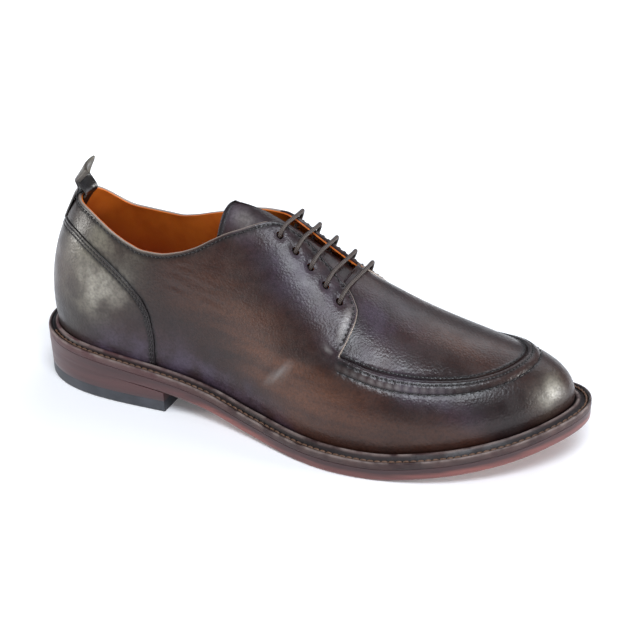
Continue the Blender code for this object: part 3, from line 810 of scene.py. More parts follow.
facing_fronts = [seam(FACING_FRONT, side) for side in (-1, 1)]
sided_fronts = list(zip(facing_fronts, (-1, 1)))
apron = both_sides(APRON)
counter_edge = both_sides(COUNTER[::-1])
plug_edge = np.vstack([facing_fronts[0][:-1], apron, facing_fronts[1][::-1][1:]])
side_edge = np.vstack([topline, plug_edge[::-1][1:]])


def stroke(flat, station_a, out_a, station_b, out_b):
    """Distance from a straight stroke on the pattern, and its strength, which is less towards its ends."""
    ends = flat_point((station_a, station_b), (out_a, out_b))
    away, along = nearest(flat, ends)
    return away, np.sin(np.pi * np.clip(along / lengths(ends)[-1], 0.02, 0.98))


def crease_level(flat):
    """Sink of the creases and rise of the ridges beside them."""
    level = np.zeros(len(flat))
    for *ends, depth, width in CREASES:
        away, strength = stroke(flat, *ends)
        ridge = RIDGE_SHARE * bell(away - RIDGE_OUT * width, width)
        level -= depth * strength * (bell(away, width) - ridge)
    return level


def side_level(flat):
    """Height of the side panels above the last's own skin."""
    from_edge, _ = nearest(flat, side_edge)
    from_apron, along_apron = nearest(flat, apron)
    apron_end = lengths(apron)[-1]
    fade = np.clip(np.minimum(along_apron, apron_end - along_apron) / BAND_FADE, 0, 1)
    front = np.clip((flat[:, 0] - apron[0, 0] + BAND_LEAD) / BAND_BLEND, 0, 1)
    share = np.clip(from_apron / BAND_WIDTH, 0, 1)
    behind_toe = np.clip((PUCKER_END - flat[:, 0]) / PUCKER_FADE, PUCKER_LEAST, 1)
    pucker = behind_toe * np.cos(2 * np.pi * along_apron / PUCKER_PITCH)
    swell = np.sin(np.pi * share**0.8)
    level = BAND_RISE * swell * (1 + PUCKER_SHARE * pucker * share) * fade * front
    # The outer groove is deepest beside each puff and shallow at the toe
    sunk = 0.2 + 0.8 * behind_toe + PUCKER_SHARE * pucker
    level -= groove(from_apron - BAND_STITCH, OUTER_GROOVE) * front * sunk
    level -= groove(from_apron - BAND_MIDDLE, MIDDLE_GROOVE) * fade * front
    beyond_band = from_apron > BAND_WIDTH
    level -= groove(from_edge - EDGE_STITCH, EDGE_GROOVE) * beyond_band
    for middle in eyelet_middles:
        from_hole = np.linalg.norm(flat - middle, axis=1) - EYELET_RADIUS
        level -= groove(from_hole, EYELET_DIMPLE)
    from_tack, _ = nearest(flat, flat_point(*TACK))
    level += TACK_RISE * bell(from_tack, TACK_WIDTH) * (1 - bell(from_edge, TACK_INSET))
    return level + crease_level(flat) - rolled_edge(from_edge, EDGE_ROUND)


def band_puff_highlight(flat):
    """Amount of painted highlight on the puffs of the band's outer side."""
    from_apron, along_apron = nearest(flat, apron)
    puff = 0.6 + 0.4 * np.cos(2 * np.pi * along_apron / PUCKER_PITCH)
    around = bell(flat[:, 0] - PUFF_HIGHLIGHT_PLACE, PUFF_HIGHLIGHT_REACH) * (flat[:, 1] < 0) * (flat[:, 0] > apron[0, 0])
    return PUFF_HIGHLIGHT_AMOUNT * bell(from_apron - PUFF_HIGHLIGHT_MIDDLE, PUFF_HIGHLIGHT_WIDTH) * puff * around


def side_seams(flat):
    """Distance from the nearest line of stitches or overlapping edge on the side panels, where painted shade
    darkens them.
    """
    from_collar, _ = nearest(flat, topline)
    from_apron, _ = nearest(flat, apron)
    from_counter, _ = nearest(flat, counter_edge)
    along_edge = np.abs(from_collar - EDGE_STITCH)
    along_band = np.minimum(np.abs(from_apron - BAND_STITCH), np.abs(from_apron - BAND_MIDDLE))
    along_band = np.minimum(along_band, from_apron + APRON_SHADE)
    along_band = np.where(flat[:, 0] > apron[0, 0], along_band, FAR_AWAY)
    return np.min([along_edge, along_band, from_counter - COUNTER_SHADE], axis=0)


side_lines = [sidestep(topline, d) for d in EDGE_LINES]
side_lines += [sidestep(front, d * side) for front, side in sided_fronts for d in EDGE_LINES]
side_lines += [sidestep(apron, -d) for d in BAND_LINES]
eyelet_ring = np.vstack([eyelet_circle, eyelet_circle[:1]])
side_lines += [middle + eyelet_ring * size for middle in eyelet_middles for size in EYELET_LINES]
side_holes = [topline, plug_edge, *eyelet_loops]
side_flat, side_faces = triangulate([feather_loop], side_holes, side_lines, PANEL_STEP)

# Burnish, tone and painted light on the pattern in percent: station, distance out, reach along, reach across,
# amount;
# wrinkled places are given the same way, and scuffs and painted highlights run from a station and distance out
# to another, with half-width and amount
OLIVE = (
    (6, -50, 9, 19, 1.0),
    (6, 50, 9, 19, 1.0),
    (14, -34, 9, 10, 0.9),
    (14, 34, 9, 10, 0.9),
    (96, -9, 3.0, 11, 0.6),
)
# Pale burnish round the heel, and painted highlights on the tongue and the toe
PALE_AND_HIGHLIGHT = (
    (6, -54, 4.0, 10, 0.9),
    (11.5, -57, 4.0, 8, 0.5),
    (39.8, -16, 2.6, 6, 0.4),
    (96.4, -10, 1.7, 6.5, 0.9),
)
WARM = (
    (40, -62, 17, 22, 0.65),
    (40, 62, 17, 22, 1.0),
    (52, -84, 10, 16, 0.9),
    (64, -70, 12, 12, 0.8),
    (76, -64, 9, 8, 0.35),
    (84, -54, 7, 7, 0.35),
    (80, -10, 9, 14, 0.5),
)
# Plum: a painted sheen of reflected light on the facings, tongue, band and lower sides
PLUM_SHEEN = (
    (52, -26, 8, 14, 0.8),
    (52, 26, 8, 14, 1.0),
    (28, -98, 34, 8, 0.9),
    (8, -86, 16, 11, 1.0),
    (74, -45, 12, 7, 0.7),
    (66, -20, 6, 14, 0.6),
    (38, -16, 5, 9, 1.0),
)
WRINKLES = (
    (31, -53, 7, 9, 1.0),
    (31, 53, 7, 9, 1.0),
    (57, -52, 5, 12, 0.8),
)
# A pale scuff along the long crease on the outer side, then painted highlights on the facing's front strip and
# on the bulge at the tack
SCUFFS_AND_HIGHLIGHTS = (
    (47.6, -87.3, 54.1, -62.1, 1.2, 0.5),
    (60.9, -43.0, 61.1, -20.0, 1.5, 1.0),
    (58.6, -46.3, 60.4, -47.6, 1.2, 0.6),
)


def soft_spots(flat, spots):
    """Amount of a colour at pattern points, from soft spots."""
    total = np.zeros(len(flat))
    for station, out, along, across, amount in spots:
        middle = flat_point(station, out)
        away = (flat - middle) / (along * LENGTH / 100, across * BALL_WIDTH / 100)
        total += amount * np.exp(-np.sum(away**2, axis=1))
    return np.clip(total, 0, 1)


def paint_finish_and_light(piece, flat, seams, cut_edge=FAR_AWAY, puff_highlight=0.0):
    """Paints burnish and tone, a painted plum sheen, pale burnish and painted highlights, wrinkles, scuffs,
    bare cut edges, and dark seams with painted shade on a panel of the upper.

    Seams and cut edge are distances at the pattern points; the last argument is an amount of painted highlight
    added to the scuffs there.
    """
    spotted = {"olive": OLIVE, "pale": PALE_AND_HIGHLIGHT, "warm": WARM, "plum_sheen": PLUM_SHEEN, "wrinkle": WRINKLES}
    for name, spots in spotted.items():
        paint_panel(piece, name, soft_spots(flat, spots))
    scuff_and_highlight = np.zeros(len(flat)) + puff_highlight
    for *ends, width, amount in SCUFFS_AND_HIGHLIGHTS:
        away, strength = stroke(flat, *ends)
        scuff_and_highlight += amount * bell(away, width) * strength
    paint_panel(piece, "scuff_and_highlight", scuff_and_highlight)
    paint_panel(piece, "bare", bell(np.zeros(len(flat)) + cut_edge, BARE_WIDTH))
    paint_panel(piece, "seam", bell(seams, SEAM_SHADE_WIDTH))


def polished_calf(name):
    """Dark brown calf, hand-burnished: olive at heel and toe, a painted plum sheen, pale burnish with painted
    highlights, painted shade along seams, fine pebbled grain.
    """
    material, tree, shader, place = new_finish(name)
    cloud = noise(tree, place, 32.0, 5.0)
    streak = noise(tree, stretched(tree, place, (16.0, 60.0, 90.0)), 1.0, 4.0)
    speckle = noise(tree, place, 650.0, 2.0)
    colour = tint(tree, spread_out(tree, cloud, 0.3, 0.72), (0.009, 0.0035, 0.0035), (0.026, 0.0095, 0.007))
    warm = combined(tree, painted(tree, "warm"), spread_out(tree, streak, 0.3, 0.7, 0.25, 1.0), "MULTIPLY")
    colour = tint(tree, warm, colour, (0.09, 0.032, 0.015))
    mottle = spread_out(tree, noise(tree, place, 75.0, 5.0), 0.33, 0.66, 0.25, 1.0)
    # Olive is the leather's burnish; plum is a painted sheen of reflected light; pale is burnish and painted
    # highlight
    burnish_and_sheen = {"olive": (0.138, 0.122, 0.092), "plum_sheen": (0.06, 0.042, 0.066), "pale": (0.36, 0.335, 0.28)}
    for spot, hue in burnish_and_sheen.items():
        colour = tint(tree, combined(tree, painted(tree, spot), mottle, "MULTIPLY"), colour, hue)
    colour = tint(tree, spread_out(tree, speckle, 0.35, 0.75, 0.0, 0.35), colour, (0.004, 0.003, 0.003))
    # Scuffs, and painted highlights on the facing's strip, the tack's bulge and the band's puffs
    colour = tint(tree, painted(tree, "scuff_and_highlight"), colour, (0.23, 0.21, 0.2))
    # Dark seams, with painted shade in their grooves and along overlapping edges
    colour = tint(tree, combined(tree, painted(tree, "seam"), 0.9, "MULTIPLY"), colour, (0.003, 0.002, 0.002))
    colour = tint(tree, painted(tree, "bare"), colour, (0.3, 0.24, 0.2))
    rough = spread_out(tree, noise(tree, place, 110.0, 5.0), 0.3, 0.7, 0.31, 0.49)
    cells = node(tree, "ShaderNodeTexVoronoi", {"Vector": place, "Scale": 900.0}, feature="SMOOTH_F1")
    dents = combined(tree, noise(tree, place, 170.0, 2.0), 0.5, "MULTIPLY")
    grain = combined(tree, cells.outputs["Distance"], dents)
    fold = noise(tree, stretched(tree, place, (45.0, 120.0, 420.0)), 1.0, 3.0)
    fold = combined(tree, combined(tree, fold, painted(tree, "wrinkle"), "MULTIPLY"), 2.2, "MULTIPLY")
    relief = bump(tree, combined(tree, grain, fold), 0.24, 0.0005)
    join(tree, shader, {"Base Color": colour, "Roughness": rough, "Normal": relief, "Coat Normal": relief})
    join(tree, shader, {"Specular IOR Level": 0.32, "Coat Weight": 0.22, "Coat Roughness": 0.25})
    return material


calf = polished_calf("upper_calf")
side_panels = panel("upper_side_panels", side_flat, side_faces, side_level(side_flat), PANEL_UNDER, calf)
collar_edge = topline[topline[:, 0] < COLLAR_END * LENGTH / 100]
side_cut = np.min([nearest(side_flat, line)[0] for line in (collar_edge, *facing_fronts)], axis=0)
paint_finish_and_light(side_panels, side_flat, side_seams(side_flat), side_cut, band_puff_highlight(side_flat))
fit(side_panels, "upper")


# Plug: one panel of the same calf over the instep and toe. It is lasted under the side panels and sewn to them
# along the apron seam, and its back edge runs in under the facings.

PLUG_LEVEL = -0.9
PLUG_TUCK = 2.2
PLUG_STITCH = 1.5
PLUG_LIP = 0.45
LIP_WIDTH = 0.9
LIP_PUCKER = 0.2
LIP_PHASE = 1.0
LIP_GROOVE = (0.8, 0.5)
FACING_SHADE = 0.4
# Extra mesh lines: distances from the apron, distances from the facing's edge
PLUG_LINES = (0.3, 0.7, 1.1, 1.5, 2.0, 2.6, 3.4)
LAP_LINES = (0.6, 1.3)


def plug_level(flat):
    """Height of the plug above the last's own skin, with a sewn lip along the apron."""
    from_apron, along_apron = nearest(flat, apron)
    pucker = np.cos(2 * np.pi * along_apron / PUCKER_PITCH + LIP_PHASE)
    within = inside(flat, plug_edge)
    ridge = bell(from_apron - PLUG_STITCH, LIP_WIDTH) * (1 + LIP_PUCKER * pucker)
    return PLUG_LEVEL + PLUG_LIP * (ridge - groove(from_apron, LIP_GROOVE)) * within


plug_loop = sidestep(plug_edge, -PLUG_TUCK)
plug_lines = [plug_edge] + [sidestep(apron, d) for d in PLUG_LINES]
plug_lines += [sidestep(front, -d * side) for front, side in sided_fronts for d in LAP_LINES]
plug_flat, plug_faces = triangulate([plug_loop], [], plug_lines, PANEL_STEP)
plug = panel("upper_plug", plug_flat, plug_faces, plug_level(plug_flat), PANEL_UNDER, calf)
# Painted shade: the plug is darkened along its stitches and just beside the facings' edges
beside_facing = np.min([nearest(plug_flat, front)[0] for front in facing_fronts], axis=0)
beside_stitch = np.abs(nearest(plug_flat, apron)[0] - PLUG_STITCH)
paint_finish_and_light(plug, plug_flat, np.minimum(beside_stitch, beside_facing - FACING_SHADE))
fit(plug, "upper")


# Counter: a curved panel of calf sewn over the back of the side panels, stiffened under the leather. Its edge
# sweeps from below the collar at the back down to the welt.

COUNTER_RISE = 0.75
COUNTER_STITCHES = (2.0, 3.9)
COUNTER_GROOVE = (0.35, 0.55)
# Lines along which it is painted darker as shade, at its edge and in its stitch grooves, and extra mesh lines,
# as distances from its edge
COUNTER_SHADE_LINES = (0.2, *COUNTER_STITCHES)
COUNTER_LINES = (0.15, 0.4, 0.8, 1.5, 2.0, 2.5, 3.4, 3.9, 4.4)
behind_heel = np.array([[-LENGTH, counter_edge[-1, 1]], [-LENGTH, counter_edge[0, 1]]])
counter_loop = np.vstack([counter_edge, behind_heel])


def counter_level(flat):
    """Height of the counter above the last's own skin."""
    from_edge, _ = nearest(flat, counter_edge)
    level = COUNTER_RISE - rolled_edge(from_edge, EDGE_ROUND)
    for row in COUNTER_STITCHES:
        level -= groove(from_edge - row, COUNTER_GROOVE)
    return level


counter_lines = [sidestep(counter_edge, d) for d in COUNTER_LINES]
counter_flat, counter_faces = triangulate([feather_loop, counter_loop], [], counter_lines, PANEL_STEP)
counter = panel("upper_counter", counter_flat, counter_faces, counter_level(counter_flat), SKIN_GAP, calf)
counter_inset = nearest(counter_flat, counter_edge)[0]
paint_finish_and_light(counter, counter_flat, np.min([np.abs(counter_inset - row) for row in COUNTER_SHADE_LINES], axis=0))
fit(counter, "upper")


# Upper stitching: waxed thread lying half sunk in the leather, along collar, facings, counter and plug, and in
# two rows along the puffed band. Each stitch is one short thread between two holes.

THREAD_SIDES = 6
# Place along half a thread, part of its width
THREAD_PROFILE = ((-1.0, 0.3), (-0.8, 0.75), (-0.35, 1.0), (0.35, 1.0), (0.8, 0.75), (1.0, 0.3))
# Rows of stitches: pitch, length, width of thread
COLLAR_ROW = (2.8, 2.0, 1.0)
FRONT_ROW = (3.0, 1.6, 1.15)
OUTER_ROW = (PUCKER_PITCH, 3.0, 0.9)
MIDDLE_ROW = (PUCKER_PITCH / 2, 1.9, 0.8)
PLUG_ROW = (PUCKER_PITCH / 2, 1.6, 0.6)
COUNTER_ROW = (2.6, 1.9, 0.8)
# Points of a seam line left bare at each end of a row
SHORT_ENDS = slice(8, -8)
PLUG_ENDS = slice(4, -4)


def skin_normal(flat):
    """Outward direction of the last at pattern points."""
    reach = 0.4
    ahead = on_last(flat + (reach, 0)) - on_last(flat - (reach, 0))
    aside = on_last(flat + (0, reach)) - on_last(flat - (0, reach))
    return unit(np.cross(ahead, aside))


def threads(starts, ends, ups, width, dip):
    """Points and faces of short threads from starts to ends, bowed up between their dipping ends."""
    turn = np.linspace(0, 2 * np.pi, THREAD_SIDES, endpoint=False)
    points, faces = [], []
    for a, b, up in zip(starts, ends, ups):
        along = unit(b - a)
        aside = unit(np.cross(up, along))
        up = np.cross(along, aside)
        first = len(points)
        for share, size in THREAD_PROFILE:
            middle = (a + b) / 2 + (b - a) / 2 * share - up * dip * share**2
            for angle in turn:
                points.append(middle + (aside * np.cos(angle) + up * np.sin(angle)) * size * width / 2)
        last = first + (len(THREAD_PROFILE) - 1) * THREAD_SIDES
        for low in range(first, last, THREAD_SIDES):
            faces += [quad[::-1] for quad in band_faces(THREAD_SIDES, low, low + THREAD_SIDES)]
        faces.append(tuple(first + i for i in range(THREAD_SIDES)))
        faces.append(tuple(last + i for i in reversed(range(THREAD_SIDES))))
    return points, faces


def sew(line, level, pitch, length, width, run=None):
    """Stitches on the leather along a pattern line, spaced by the line's own lengths or by another run."""
    run = lengths(line) if run is None else run
    at = smooth(np.column_stack([run, line]))
    middle = np.arange(run[0] + pitch / 2, run[-1] - pitch / 2, pitch)
    ends = []
    for half in (-length / 2, length / 2):
        flat = at(middle + half)
        ends.append(on_last(flat) + skin_normal(flat) * (level(flat) + width * 0.25)[:, None])
    return threads(ends[0], ends[1], skin_normal(at(middle)), width, width * 0.5)


def gather(rows):
    """One set of points and faces from several."""
    points, faces = [], []
    for some_points, some_faces in rows:
        faces += [tuple(i + len(points) for i in face) for face in some_faces]
        points += some_points
    return np.array(points), faces


def thread_finish(name, colour):
    """Twisted waxed thread with paler flecks."""
    material, tree, shader, place = new_finish(name)
    pale = tuple(1.6 * c for c in colour)
    share = spread_out(tree, noise(tree, place, 900.0), 0.35, 0.7)
    relief = bump(tree, noise(tree, place, 4000.0), 0.3, 0.0002)
    join(tree, shader, {"Base Color": tint(tree, share, colour, pale), "Roughness": 0.5, "Normal": relief})
    return material


stitch_rows = [sew(sidestep(topline, EDGE_STITCH), side_level, *COLLAR_ROW)]
for front, side in sided_fronts:
    stitch_rows.append(sew(sidestep(front, EDGE_STITCH * side), side_level, *FRONT_ROW))
band_outer = sidestep(apron, -BAND_STITCH)[SHORT_ENDS]
band_middle = sidestep(apron, -BAND_MIDDLE)[SHORT_ENDS]
stitch_rows.append(sew(band_outer, side_level, *OUTER_ROW, lengths(apron)[SHORT_ENDS]))
stitch_rows.append(sew(band_middle, side_level, *MIDDLE_ROW))
stitch_rows.append(sew(sidestep(apron, PLUG_STITCH)[PLUG_ENDS], plug_level, *PLUG_ROW))
for row in COUNTER_STITCHES:
    stitch_rows.append(sew(sidestep(counter_edge, row)[SHORT_ENDS], counter_level, *COUNTER_ROW))
stitch_points, stitch_faces = gather(stitch_rows)
dark_thread = thread_finish("dark_thread", (0.005, 0.003, 0.003))
stitching = put("upper_stitching", stitch_points, stitch_faces, dark_thread, 60)
fit(stitching, "upper")


# Tongue: soft calf with a turned and stitched top edge, sewn under the plug and lying under the facings. It is
# peaked over the instep where the closed facings would press it.

TONGUE_THICK = 1.8
TONGUE_EASE = 0.9
TONGUE_ROWS = 90
TONGUE_COLUMNS = 61
TONGUE_PEAK = 0.4
TONGUE_STITCH = 3.4
TONGUE_FOLD = 1.6
# More room under the lace, from a station on and over a few more
TONGUE_LACE_ROOM = 0.6
LACE_FROM = 43.0
LACE_BLEND = 3.0
# Station, half-width, sink of the middle in millimetres, setback of the edges in stations
TONGUE = (
    (37.0, 29.0, 5.5, 1.9),
    (40, 27.0, 4.6, 1.4),
    (46, 23.0, 2.0, 0.5),
    (50, 22.0, 1.0, 0.1),
    (55, 21.0, 0.6, 0.0),
    (63.5, 21.0, 0.0, 0.0),
)
tongue_station = np.linspace(TONGUE[0][0], TONGUE[-1][0], TONGUE_ROWS)
tongue_half, tongue_sink, tongue_setback = smooth(TONGUE)(tongue_station).T[..., None]
tongue_across = np.linspace(-1, 1, TONGUE_COLUMNS)
tongue_back = tongue_setback * (1 - bell(tongue_across, TONGUE_PEAK))
tongue_flat = flat_point(tongue_station[:, None] - tongue_back, tongue_half * tongue_across).reshape(-1, 2)
under_lace = np.clip((tongue_station[:, None] - LACE_FROM) / LACE_BLEND, 0, 1)
tongue_sag = (tongue_sink + TONGUE_LACE_ROOM * under_lace) * (1 - tongue_across**2)
tongue_level = (-WALL - JOIN - TONGUE_EASE - tongue_sag).ravel()
from_top = (tongue_station[:, None] - tongue_station[0]) * LENGTH / 100 + 0 * tongue_across
from_side = (1 - np.abs(tongue_across)) * tongue_half * BALL_WIDTH / 100
tongue_from_edge = np.minimum(from_top, from_side).ravel()
tongue_round = rolled_edge(tongue_from_edge, TONGUE_THICK / 2)
tongue_groove = groove(from_top.ravel() - TONGUE_STITCH, EDGE_GROOVE)
tongue_skin = tongue_level - tongue_round - tongue_groove
tongue_flesh = tongue_level - TONGUE_THICK + tongue_round
number = np.arange(len(tongue_flat)).reshape(TONGUE_ROWS, TONGUE_COLUMNS)
corner_a, corner_b, corner_c, corner_d = number[:-1, :-1], number[1:, :-1], number[1:, 1:], number[:-1, 1:]
tongue_faces = np.concatenate([
    np.stack([corner_a, corner_b, corner_c], -1).reshape(-1, 3),
    np.stack([corner_a, corner_c, corner_d], -1).reshape(-1, 3),
])
# The folded top edge is darkened, less and less towards the inner side
inner_half = np.clip(tongue_across + 0.1, 0, 1)
tongue_seams = (np.abs(from_top - TONGUE_FOLD) / 2 + 4 * inner_half).ravel()
tongue = panel("tongue_flap", tongue_flat, tongue_faces, tongue_skin, tongue_flesh, calf)
paint_finish_and_light(tongue, tongue_flat, tongue_seams)
fit(tongue, "tongue")


# Pull loop: a narrow calf strap folded over the back of the collar, sewn down outside and inside. Its two legs
# close together above the collar into a flat tab that leans forward and is turned a little.

LOOP_WIDTH = 13.0
LOOP_THICK = 1.2
LOOP_EASE = 0.15
LOOP_PINCH = (-2.9, 4.6)
LOOP_TOP = (3.2, 14.6)
LOOP_SLACK = 1.8
LOOP_TILT = 0.23
LOOP_TWIST = -0.2
LOOP_FOOT_GIRTH = 61.0
COLLAR_GIRTH = 80.8
LEG_COUNT = 30
BLADE_COUNT = 12
LOOP_COLUMNS = 17
# Tab: where its points begin and how far they reach, where its tip begins to round and over what share
BLADE_START = 0.12
BLADE_SPAN = 0.86
CROWN_START = 0.75
CROWN_SPAN = 0.28
# Part of the half-width from which the strap's sides are rounded, and how much of the thickness goes
SIDE_START = 0.9
SIDE_ROUND = 0.9


def loop_section(y, inset):
    """Closed side view of the strap at distance y from the middle of the heel, as (x, z) points.

    It runs up the outer leg and the rear of the tab to the tip, down the front and the inner leg, then up and
    down the gap between the legs. The inset makes the strap thinner on each face.
    """
    girth = np.linspace(LOOP_FOOT_GIRTH, COLLAR_GIRTH, 5)
    nudge = np.full(len(girth), 0.005)
    t = -y * nudge / wall_point(-nudge, girth)[:, 1]
    back = wall_point(t, girth)[:, [0, 2]]
    along = unit(np.gradient(back, axis=0))
    out = np.column_stack([-along[:, 1], along[:, 0]])
    outside = LOOP_EASE + LOOP_SLACK * np.linspace(0, 1, len(girth)) ** 2
    within = np.full(len(girth), WALL + LOOP_EASE)
    pinch = back[-1] + LOOP_PINCH
    tip = back[-1] + LOOP_TOP + (0.0, LOOP_TILT * y)
    lean = unit(tip - pinch)
    thick = LOOP_THICK - inset
    rear = np.array([-lean[1], lean[0]]) * thick

    def leg(distance, end):
        path = np.vstack([back + out * distance[:, None], end])
        run = lengths(path)
        return smooth(np.column_stack([run, path]))(np.linspace(0, run[-1], LEG_COUNT))

    share = np.linspace(0, 1, BLADE_COUNT)[1:, None]
    part = BLADE_START + BLADE_SPAN * share
    turned = np.array([LOOP_TWIST * y, 0.0])
    blade = pinch + (tip - lean * inset - pinch) * part + turned * (1 - (1 - part) ** 2)
    crown = rear * np.sqrt(1 - np.clip((share - CROWN_START) / CROWN_SPAN, 0, 1) ** 2)
    up = np.vstack([leg(outside + thick, pinch + rear), blade + crown])
    down = np.vstack([leg(-within - thick, pinch - rear + lean * LOOP_THICK), blade - crown])[::-1]
    gap = np.vstack([leg(-within - inset, pinch), leg(outside + inset, pinch)[-2::-1]])
    return np.vstack([up, tip - lean * inset + turned, down, gap])


def loop_cells(count):
    """Faces that fill one side view of the strap, in its own direction."""
    top = LEG_COUNT + BLADE_COUNT - 1
    closed = LEG_COUNT - 1
    front = 2 * top
    pinch = front + LEG_COUNT
    cells = []
    for i in range(closed):
        cells.append((i, i + 1, count - 2 - i, count - 1 - i))
        cells.append((front - i - 1, front - i, front + 1 + i, front + 2 + i))
    cells.append((closed, closed + 1, pinch))
    cells.append((closed + 1, front - closed - 1, pinch))
    cells.append((front - closed - 1, front - closed, pinch))
    for i in range(closed + 1, top - 1):
        cells.append((i, i + 1, front - i - 1, front - i))
    cells.append((top - 1, top, top + 1))
    return cells


loop_rings = []
for share in np.sin(np.linspace(-np.pi / 2, np.pi / 2, LOOP_COLUMNS)):
    rounding = max(0.0, (abs(share) - SIDE_START) / 0.1)
    inset = LOOP_THICK / 2 * (1 - np.sqrt(1 - SIDE_ROUND * rounding**2))
    y = share * LOOP_WIDTH / 2
    x, z = loop_section(y, inset).T
    loop_rings.append(np.column_stack([x, np.full(len(x), y), z]))
loop_count = len(loop_rings[0])
loop_faces = []
for k in range(LOOP_COLUMNS - 1):
    loop_faces += band_faces(loop_count, k * loop_count, (k + 1) * loop_count)
loop_last = (LOOP_COLUMNS - 1) * loop_count
for cell in loop_cells(loop_count):
    loop_faces.append(cell[::-1])
    loop_faces.append(tuple(loop_last + k for k in cell))
pull_loop = put("pull_loop_strap", np.vstack(loop_rings), loop_faces, calf, 50)
loop_place = np.arange(loop_count)
inner_leg = loop_place > LEG_COUNT + 2 * BLADE_COUNT - 2
tab = (loop_place > LEG_COUNT) & ~inner_leg
# The tab is rubbed olive and pale; the inner leg, which lies in the shade between the legs, is painted dark as
# shade
for name, amount in (("olive", 0.3 + 0.6 * tab), ("pale", 0.15 * tab), ("seam", inner_leg)):
    paint(pull_loop, name, np.tile(amount, LOOP_COLUMNS))
fit(pull_loop, "pull_loop")


# Welt: a strip of dark leather sewn to the upper all round, with a raised bead against it. Outside the bead
# runs a groove with the thick sole stitches, then a burnished lip.

# Section: part of the reach, further inset, height above the underside of the welt, amount rubbed pale, amount
# of brown; where that is less, the welt is painted black as shade, in the groove, beside the upper and on
# hidden faces
WELT_SECTION = (
    (0, 0.3, 0.0, 0.0, 1.0),
    (0, 0.1, 0.15, 0.0, 1.0),
    (0, 0.0, 1.2, 0.1, 1.0),
    (0, 0.0, 2.8, 0.2, 1.0),
    (0, 0.15, 3.5, 0.7, 1.0),
    (0, 0.5, 3.9, 1.0, 0.8),
    (0, 1.0, 4.0, 0.6, 0.5),
    (0, 1.4, 3.8, 0.0, 0.1),
    (0, 1.7, 3.2, 0.0, 0.0),
    (0, 2.0, 2.9, 0.0, 0.0),
    (0, 3.3, 2.9, 0.0, 0.0),
    (0, 3.6, 3.2, 0.0, 0.0),
    (1, -3.3, 4.3, 0.0, 0.3),
    (1, -2.9, 5.0, 0.4, 0.8),
    (1, -2.4, 5.4, 0.9, 1.0),
    (1, -1.9, 5.5, 1.0, 1.0),
    (1, -1.4, 5.3, 0.5, 0.8),
    (1, -0.9, 4.8, 0.0, 0.2),
    (1, -0.7, 4.2, 0.0, 0.0),
    (1, -0.3, 3.9, 0.0, 0.0),
    (1, 3.0, 3.9, 0.0, 0.0),
    (1, 3.0, 0.0, 0.0, 0.0),
)
WELT_STITCH_INSET = 2.6
WELT_STITCH_HEIGHT = 3.5
WELT_STITCH_PITCH = 3.7
WELT_STITCH_LENGTH = 3.5
WELT_STITCH_WIDTH = 1.15
WELT_STITCH_DIP = 0.4
# Loop positions where the row of stitches begins and ends, points along it, and the run left bare at its ends
WELT_ROW = (0.035, 0.965)
WELT_ROW_COUNT = 4000
WELT_ROW_MARGIN = 2.0
# Where the heel's stain ends and over what run it fades in
HEEL_STAIN_END = 118.0
HEEL_STAIN_FADE = 40.0


def heelward(points):
    """1 round the heel, fading to 0 in front of its breast."""
    share = np.clip((HEEL_STAIN_END - points[:, 0]) / HEEL_STAIN_FADE, 0, 1)
    return share * share * (3 - 2 * share)


def welt_finish():
    """Brown leather on bead, lip and edge, rubbed paler on the ridges, and painted black as shade in the
    groove and beside the upper.
    """
    material, tree, shader, place = new_finish("welt_finish")
    cloud = spread_out(tree, noise(tree, place, 90.0, 4.0), 0.3, 0.7)
    brown = tint(tree, cloud, (0.028, 0.014, 0.014), (0.06, 0.03, 0.028))
    brown = tint(tree, painted(tree, "heelward"), brown, (0.075, 0.034, 0.035))
    # Painted shade: near black where the brown share is low, in the groove and beside the upper
    colour = tint(tree, painted(tree, "unshaded_brown"), (0.008, 0.005, 0.005), brown)
    patchy = spread_out(tree, noise(tree, place, 120.0), 0.35, 0.65)
    rub = combined(tree, painted(tree, "wear"), patchy, "MULTIPLY")
    colour = tint(tree, rub, colour, (0.2, 0.155, 0.14))
    rough = spread_out(tree, cloud, 0.0, 1.0, 0.4, 0.6)
    relief = bump(tree, noise(tree, place, 700.0), 0.3, 0.0004)
    join(tree, shader, {"Base Color": colour, "Roughness": rough, "Normal": relief, "Specular IOR Level": 0.3})
    return material


welt_base = OUTSOLE_THICK + JOIN
reach = welt_reach(RIM_T)
welt_rings = [
    ring(RIM_T, part * reach + inset, welt_base + height) for part, inset, height, *_ in WELT_SECTION
]
welt_faces = []
for k in range(len(welt_rings)):
    welt_faces += band_faces(RIM_COUNT, k * RIM_COUNT, (k + 1) % len(welt_rings) * RIM_COUNT)
welt = put("welt_strip", np.vstack(welt_rings), welt_faces, welt_finish(), 60)
paint(welt, "wear", np.repeat([row[3] for row in WELT_SECTION], RIM_COUNT))
paint(welt, "unshaded_brown", np.repeat([row[4] for row in WELT_SECTION], RIM_COUNT))
paint(welt, "heelward", heelward(np.vstack(welt_rings)))
fit(welt, "welt")

